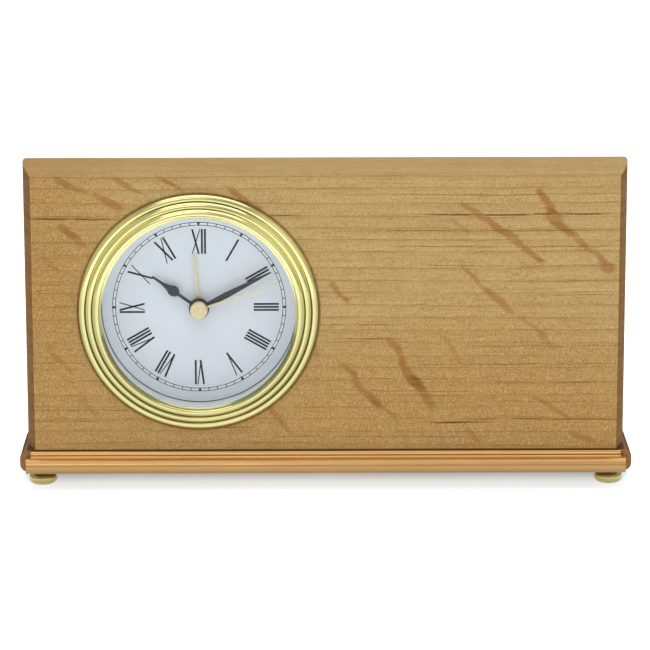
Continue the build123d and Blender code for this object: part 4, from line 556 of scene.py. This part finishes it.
def cell_sleeve():
    """A plain printed sleeve: dark, with a copper-coloured band at the positive end."""
    s = Shader("cell_sleeve")
    along = s.axis("X")
    band = s.span(along, CLOCK_X + 8 * MM, CLOCK_X + 8.3 * MM)
    cap = s.span(along, CLOCK_X + 20.9 * MM, CLOCK_X + 21.1 * MM)
    scratches = s.noise((40, 2200, 2200), 3.0, 0.6)
    colour = s.mix(band, (0.030, 0.032, 0.036), (0.540, 0.270, 0.110))
    colour = s.mix(cap, colour, (0.560, 0.560, 0.570))
    s.set(Base_Color=colour, Metallic=0.6, Roughness=s.span(scratches, 0.3, 0.7, 0.24, 0.36, False))
    s.bump(scratches, 0.05, 0.02 * MM)
    return s.material


def clear_glass():
    """Thin mineral glass: it lets light straight through and keeps a faint gloss."""
    s = Shader("clear_glass")
    dust = s.noise((140, 140, 140), 4.0, 0.6)
    s.set(
        Base_Color=(0.02, 0.025, 0.025, 1.0),
        Roughness=s.span(dust, 0.35, 0.75, 0.015, 0.05, False),
        Alpha=0.05,
        Specular_IOR_Level=0.6,
    )
    return s.material


sleeve = cell_sleeve()
glass = clear_glass()

FINISH = {
    tan_wood: ["wood_panel"],
    base_wood: ["base_board"],
    rose_gold: ["front_moulding"],
    pale_brass: ["bezel"],
    foot_brass: ["foot_front_left", "foot_front_right", "foot_rear_left", "foot_rear_right"],
    steel: [
        "base_screws", "movement_screws", "can_screws", "motor_stator", "coil_core", "motor_screws",
        "battery_contact_negative", "battery_contact_positive", "quartz_crystal", "board_screws",
    ],
    black_plastic: [
        "insert_can", "movement_front_plate", "movement_middle_plate", "movement_rear_housing",
        "time_setting_knob", "alarm_setting_knob", "alarm_switch", "battery_cover",
    ],
    grip_rubber: ["grip_band"],
    clear_rubber: ["crystal_gasket"],
    glass: ["crystal"],
    white_plastic: ["reflector_ring", "coil_bobbin"],
    dial_paint: ["dial"],
    black_paint: ["minute_hand", "hour_hand"],
    gold_leaf: ["second_hand", "hand_cap", "alarm_hand"],
    thin_brass: ["alarm_sounder", "alarm_contact_leaf", "clutch_washer"],
    cream_plastic: [
        "cannon_pinion", "minute_wheel", "hour_wheel", "second_wheel", "third_wheel", "centre_wheel",
        "intermediate_wheel", "alarm_wheel", "alarm_arbor",
    ],
    sintered: ["motor_rotor"],
    copper_wire: ["coil_winding"],
    solder_mask: ["circuit_board"],
    epoxy: ["clock_chip"],
    sleeve: ["battery_cell"],
}
dressed = set()
for material, names in FINISH.items():
    for name in names:
        mesh = nodes[name].data
        mesh.materials.clear()
        mesh.materials.append(material)
        dressed.add(name)
assert dressed == set(nodes), set(nodes) - dressed


def new_object(name, mesh, material, body, slot, *replaced):
    """Puts a mesh in the scene, on a body, in place of the CAD nodes that it replaces. The slot is not used.
    """
    thing = bpy.data.objects.new(name, mesh)
    link(thing)
    mesh.materials.append(material)
    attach(thing, body)
    if replaced:
        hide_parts(*replaced)


def finished(work, name):
    """The mesh of a finished bmesh, with its faces turned outwards."""
    bmesh.ops.recalc_face_normals(work, faces=work.faces)
    mesh = bpy.data.meshes.new(name)
    work.to_mesh(mesh)
    work.free()
    return mesh


def arc(first, middle, last, count):
    """Points along the circle through three points, without the last one."""
    ax, ay = first
    bx, by = middle
    cx, cy = last
    d = 2 * (ax * (by - cy) + bx * (cy - ay) + cx * (ay - by))
    ux = ((ax**2 + ay**2) * (by - cy) + (bx**2 + by**2) * (cy - ay) + (cx**2 + cy**2) * (ay - by)) / d
    uy = ((ax**2 + ay**2) * (cx - bx) + (bx**2 + by**2) * (ax - cx) + (cx**2 + cy**2) * (bx - ax)) / d
    radius = math.hypot(ax - ux, ay - uy)
    start = math.atan2(ay - uy, ax - ux)
    through = (math.atan2(by - uy, bx - ux) - start) % (2 * math.pi)
    sweep = (math.atan2(cy - uy, cx - ux) - start) % (2 * math.pi)
    if through > sweep:
        sweep -= 2 * math.pi
    angles = [start + sweep * i / count for i in range(count)]
    return [(ux + radius * math.cos(angle), uy + radius * math.sin(angle)) for angle in angles]


def turned(name, outline, sharp, place, segments, closed=True):
    """A solid of revolution from an outline of (radius, along), which place takes to the frame.

    The rings numbered in sharp keep a hard edge, and a closed outline joins its last point to its first.
    """
    work = bmesh.new()
    rings = []
    for radius, along in outline:
        if radius < 1e-9:
            rings.append([work.verts.new(place(0.0, along, 0.0))])
            continue
        angles = [2 * math.pi * k / segments for k in range(segments)]
        rings.append([work.verts.new(place(radius, along, angle)) for angle in angles])
    pairs = list(zip(range(len(rings)), range(1, len(rings))))
    if closed:
        pairs.append((len(rings) - 1, 0))
    for i, j in pairs:
        for k in range(segments):
            n = (k + 1) % segments
            corners = [rings[i][k % len(rings[i])], rings[i][n % len(rings[i])]]
            corners += [rings[j][n % len(rings[j])], rings[j][k % len(rings[j])]]
            corners = list(dict.fromkeys(corners))
            if len(corners) > 2:
                face = work.faces.new(corners)
                face.smooth = True
    for i in sharp:
        ring = rings[i]
        if len(ring) > 1:
            for k in range(segments):
                edge = work.edges.get((ring[k], ring[(k + 1) % segments]))
                if edge:
                    edge.smooth = False
    return finished(work, name)


def on_clock(radius, depth, angle):
    """A point about the axis of the hands, with the angle clockwise from the top."""
    return Vector(
        (
            CLOCK_X + radius * MM * math.sin(angle),
            FRONT_Y + depth * MM,
            CLOCK_Z + radius * MM * math.cos(angle),
        )
    )


def on_foot(middle):
    """Places points about a foot's upright axis."""

    def place(radius, along, angle):
        x = middle.x + radius * MM * math.cos(angle)
        y = middle.y + radius * MM * math.sin(angle)
        return Vector((x, y, along * MM))

    return place


# The brass ring, turned more finely than the CAD mesh: (radius, depth) of each bead's outer flank, crest,
# inner lip and groove, then the eye and the seats behind it
BEADS = [
    ((49.05, -1.70), (47.75, -2.05), (47.30, -1.93), (RING_GROOVES[0], -1.40)),
    ((46.10, -2.70), (45.00, -3.10), (44.52, -2.98), (RING_GROOVES[1], -2.45)),
    ((43.25, -3.55), (42.05, -3.92), (41.50, -3.76), (RING_GROOVES[2], -3.20)),
]
RING_EDGE = 49.98
RING_EYE = 40.2
GLASS_SEAT = 42.2
GLASS_SEAT_DEPTH = -2.2
CAN_SEAT = 46.1
CAN_SEAT_DEPTH = -1.5
RING_SEGMENTS = 256
TURNED_SEGMENTS = 96
ring_outline = [(RING_EDGE, 0.0)]
ring_sharp = [0]
begin = (RING_EDGE, -0.25)
for flank, crest, lip, groove in BEADS:
    ring_sharp.append(len(ring_outline))
    ring_outline += arc(begin, flank, crest, 14)
    ring_outline += arc(crest, lip, groove, 8)
    begin = groove
ring_sharp.append(len(ring_outline))
ring_outline += [begin, (40.35, -2.68), (RING_EYE, -2.55), (RING_EYE, GLASS_SEAT_DEPTH)]
ring_outline += [(GLASS_SEAT, GLASS_SEAT_DEPTH), (GLASS_SEAT, CAN_SEAT_DEPTH)]
ring_outline += [(CAN_SEAT, CAN_SEAT_DEPTH), (CAN_SEAT, 0.0)]
ring_end = len(ring_outline)
ring_sharp += range(ring_end - 6, ring_end)
ring_mesh = turned("bezel_ring", ring_outline, ring_sharp, on_clock, RING_SEGMENTS)
new_object("bezel_ring", ring_mesh, pale_brass, "insert", "brass", "bezel")

# Bun feet, each with its neck, washer and stud
BUN_FLAT = 3.5
BUN_RADIUS = 6.1
NECK_RADIUS = 3.9
NECK_TOP = 6.5
WASHER_RADIUS = 4.8
WASHER_EDGE = 0.1
STUD_RADIUS = 2.0
STUD_TOP = 12.8
bun = [(0.0, 0.0), (BUN_FLAT, 0.0)]
bun += arc((NECK_RADIUS, 0.06), (BUN_RADIUS, 2.7), (NECK_RADIUS, 5.36), 28)
bun += [(NECK_RADIUS, 5.4), (NECK_RADIUS, NECK_TOP), (WASHER_RADIUS - WASHER_EDGE, NECK_TOP)]
bun += [(WASHER_RADIUS, NECK_TOP + WASHER_EDGE), (WASHER_RADIUS, BASE_BOTTOM)]
bun += [(STUD_RADIUS, BASE_BOTTOM), (STUD_RADIUS, STUD_TOP), (0.0, STUD_TOP)]
bun_sharp = [1] + [len(bun) - back for back in (8, 7, 6, 4, 3, 2)]
for name in ("foot_front_left", "foot_front_right", "foot_rear_left", "foot_rear_right"):
    low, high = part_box(name)
    mesh = turned(name + "_turned", bun, bun_sharp, on_foot((low + high) / 2), TURNED_SEGMENTS, False)
    new_object(name + "_turned", mesh, foot_brass, "case", "brass", name)

# The cap over the hands, with a softly rounded rim
CAP_RADIUS = 3.70
CAP_FRONT = 2.60
CAP_BACK = 4.40
CAP_SHOULDER = 3.05
cap = [(0.0, CAP_FRONT), (3.2, CAP_FRONT + 0.02)]
cap += arc((3.25, CAP_FRONT + 0.02), (3.55, 2.75), (CAP_RADIUS, CAP_SHOULDER), 8)
cap += [(CAP_RADIUS, CAP_SHOULDER), (CAP_RADIUS, CAP_BACK), (0.0, CAP_BACK)]
cap_mesh = turned("hand_cap_turned", cap, [1, len(cap) - 2], on_clock, TURNED_SEGMENTS, False)
new_object("hand_cap_turned", cap_mesh, gold_leaf, "second", "gold_hand", "hand_cap")

# Print on the dial
PRINT_STEPS = 240
NUMERALS = ["I", "II", "III", "IIII", "V", "VI", "VII", "VIII", "IX", "X", "XI", "XII"]
NUMERAL_INNER = 22.7
NUMERAL_OUTER = 33.2
THICK = 0.80
THIN = 0.42
BAR_PITCH = 1.28
V_WIDTH = 2.55
V_OVERLAP = 0.10
X_WIDTH = 3.2
X_LEAN = 0.5
SIDE_GAP = 0.85
TRACK_INNER = 34.75
TRACK_OUTER = 36.2
TRACK_LINE = 0.26
TICK = 0.32
MARK_FOOT = 0.28
MARK_HEAD = 1.44
MARK_DROP = 0.25
# Radii of a painted shadow ring at the dial's edge
EDGE_SHADOW = (40.55, 40.88)


def around(angle, side, out):
    """A point beside a radius of the dial: side is clockwise, out is away from the axis."""
    return (
        out * math.sin(angle) + side * math.cos(angle),
        out * math.cos(angle) - side * math.sin(angle),
    )


def stroke(angle, foot, inner, foot_width, head, outer, head_width):
    """A four-sided stroke from one radius to another, with its middle and width given at each."""
    return [
        around(angle, foot - foot_width / 2, inner),
        around(angle, foot + foot_width / 2, inner),
        around(angle, head + head_width / 2, outer),
        around(angle, head - head_width / 2, outer),
    ]


def printed(name, shapes, rings, front, back, material, slot):
    """Flat print: shapes are lists of (x, z) corners, rings are (inner, outer) radii, both from the axis.

    Front and back are the heights of the print's two sides over the dial.
    """
    work = bmesh.new()

    def corners(points, height):
        y = FRONT_Y + (DIAL_FRONT - height) * MM
        return [work.verts.new((CLOCK_X + x * MM, y, CLOCK_Z + z * MM)) for x, z in points]

    for shape in shapes:
        near = corners(shape, front)
        far = corners(shape, back)
        work.faces.new(near)
        work.faces.new(list(reversed(far)))
        for i in range(len(shape)):
            j = (i + 1) % len(shape)
            work.faces.new([near[j], near[i], far[i], far[j]])
    for inner, outer in rings:
        loops = [
            corners([around(2 * math.pi * k / PRINT_STEPS, 0, radius) for k in range(PRINT_STEPS)], height)
            for radius, height in ((inner, front), (outer, front), (outer, back), (inner, back))
        ]
        for one, other in zip(loops, loops[1:] + loops[:1]):
            for k in range(PRINT_STEPS):
                n = (k + 1) % PRINT_STEPS
                work.faces.new([one[k], one[n], other[n], other[k]])
    new_object(name, finished(work, name), material, "insert", slot)


def strokes(text):
    """Strokes of a numeral as (bottom x, top x, width), with the numeral centred on zero."""
    found = []
    at = 0.0
    before = None
    for letter in text:
        if letter == "I":
            at += 0.0 if before is None else (BAR_PITCH if before == "I" else SIDE_GAP)
            found.append((at, at, THICK))
        else:
            wide = V_WIDTH if letter == "V" else X_WIDTH
            at += 0.0 if before is None else SIDE_GAP
            if letter == "V":
                found.append((at + wide / 2 + V_OVERLAP, at, THICK))
                found.append((at + wide / 2 - V_OVERLAP, at + wide, THIN))
            else:
                found.append((at + wide - X_LEAN, at, THICK))
                found.append((at, at + wide, THIN))
            at += wide
        before = letter
    low = min(min(a, b) for a, b, _ in found)
    high = max(max(a, b) for a, b, _ in found)
    shift = (low + high) / 2
    return [(a - shift, b - shift, w) for a, b, w in found]


numeral_shapes = []
for index, text in enumerate(NUMERALS):
    angle = math.radians(30 * (index + 1))
    for bottom, top, width in strokes(text):
        numeral_shapes.append(stroke(angle, bottom, NUMERAL_INNER, width, top, NUMERAL_OUTER, width))
printed("dial_numerals", numeral_shapes, [], 0.05, 0.0, ink, "black_paint")

# A tick for each minute, and a wedge at every fifth
track_shapes = []
for minute in range(60):
    angle = math.radians(6 * minute)
    if minute % 5:
        shape = stroke(angle, 0.0, TRACK_INNER, TICK, 0.0, TRACK_OUTER, TICK)
    else:
        shape = stroke(angle, 0.0, TRACK_INNER - MARK_DROP, MARK_FOOT, 0.0, TRACK_OUTER, MARK_HEAD)
    track_shapes.append(shape)
track_rings = [(TRACK_OUTER - TRACK_LINE, TRACK_OUTER), (TRACK_INNER, TRACK_INNER + TRACK_LINE)]
printed("dial_minute_track", track_shapes, track_rings, 0.06, 0.02, ink, "black_paint")
printed("dial_track_band", [], [(TRACK_INNER, TRACK_OUTER)], 0.03, 0.0, track_paint, "dial")
# A thin black ring at the dial's edge: painted shadow in the gap between the dial and the reflector ring
printed("dial_edge_shadow", [], [EDGE_SHADOW], 0.04, 0.0, ink, "black_paint")

# Floor, pale everywhere. Under the clock it glows less, and is cooler to balance the light that the wood
# throws on it. Its sizes are in metres.
FLOOR_REACH = 6.0
FLOOR_GLOW = 0.66
floor_mesh = bpy.data.meshes.new("floor")
floor_corners = [(-1, -1), (1, -1), (1, 1), (-1, 1)]
floor_mesh.from_pydata([(x * FLOOR_REACH, y * FLOOR_REACH, 0) for x, y in floor_corners], [], [(0, 1, 2, 3)])
floor = bpy.data.objects.new("floor", floor_mesh)
link(floor)
ground = Shader("ground")


def floor_patch(across, along, middle, strength):
    """A patch of the floor between two pairs of half sizes, from nothing outside to its strength inside."""
    x = ground.math("ABSOLUTE", ground.axis("X"))
    y = ground.math("ABSOLUTE", ground.math("SUBTRACT", ground.axis("Y"), middle))
    return ground.times(ground.span(x, *across, 0.0, strength), ground.span(y, *along))


shadow = floor_patch((0.134, 0.122), (0.021, 0.004), 0.012, 0.50)
cool = floor_patch((0.150, 0.120), (0.036, 0.008), 0.0, 1.0)
pale = ground.mix(ground.noise((3, 3, 3), 2.0, 0.5), (0.84, 0.88, 0.92), (0.86, 0.90, 0.94))
ground.set(
    Base_Color=ground.mix(cool, pale, (0.58, 0.75, 0.93)),
    Roughness=0.9,
    Emission_Color=(1.0, 1.0, 1.0, 1.0),
    Emission_Strength=ground.times(ground.math("SUBTRACT", 1.0, shadow), FLOOR_GLOW),
)
floor_mesh.materials.append(ground.material)


def area_light(name, place, target, width, depth, watts):
    data = bpy.data.lights.new(name, "AREA")
    data.shape = "RECTANGLE"
    data.size = width
    data.size_y = depth
    data.energy = watts
    lamp = bpy.data.objects.new(name, data)
    lamp.location = place
    lamp.rotation_euler = (Vector(target) - Vector(place)).to_track_quat("-Z", "Y").to_euler()
    link(lamp)


# Soft lights, placed in metres
MIDDLE = (0.0, 0.0, 0.07)
area_light("key", (-0.30, -1.25, 0.95), MIDDLE, 0.60, 0.50, 2.0)
area_light("fill", (0.9, -1.3, 0.75), MIDDLE, 0.9, 0.9, 0.8)
area_light("top", (0.0, -0.15, 1.5), (0.0, 0.0, 0.0), 1.4, 1.4, 13.0)

# Surroundings, a little brighter overhead
HORIZON = (0.84, 0.84, 0.85, 1.0)
OVERHEAD = (1.0, 1.0, 1.0, 1.0)
SURROUNDINGS = 0.56
world = bpy.data.worlds.new("studio")
scene.world = world
world.use_nodes = True
tree = world.node_tree
background = tree.nodes["Background"]
where = tree.nodes.new("ShaderNodeTexCoord")
split = tree.nodes.new("ShaderNodeSeparateXYZ")
lift = tree.nodes.new("ShaderNodeMath")
lift.operation = "MULTIPLY_ADD"
lift.inputs[1].default_value = 0.5
lift.inputs[2].default_value = 0.5
ramp = tree.nodes.new("ShaderNodeValToRGB")
for stop, position, colour in zip(ramp.color_ramp.elements, (0.42, 0.80), (HORIZON, OVERHEAD)):
    stop.position = position
    stop.color = colour
tree.links.new(where.outputs["Generated"], split.inputs[0])
tree.links.new(split.outputs["Z"], lift.inputs[0])
tree.links.new(lift.outputs[0], ramp.inputs[0])
tree.links.new(ramp.outputs["Color"], background.inputs["Color"])
background.inputs["Strength"].default_value = SURROUNDINGS
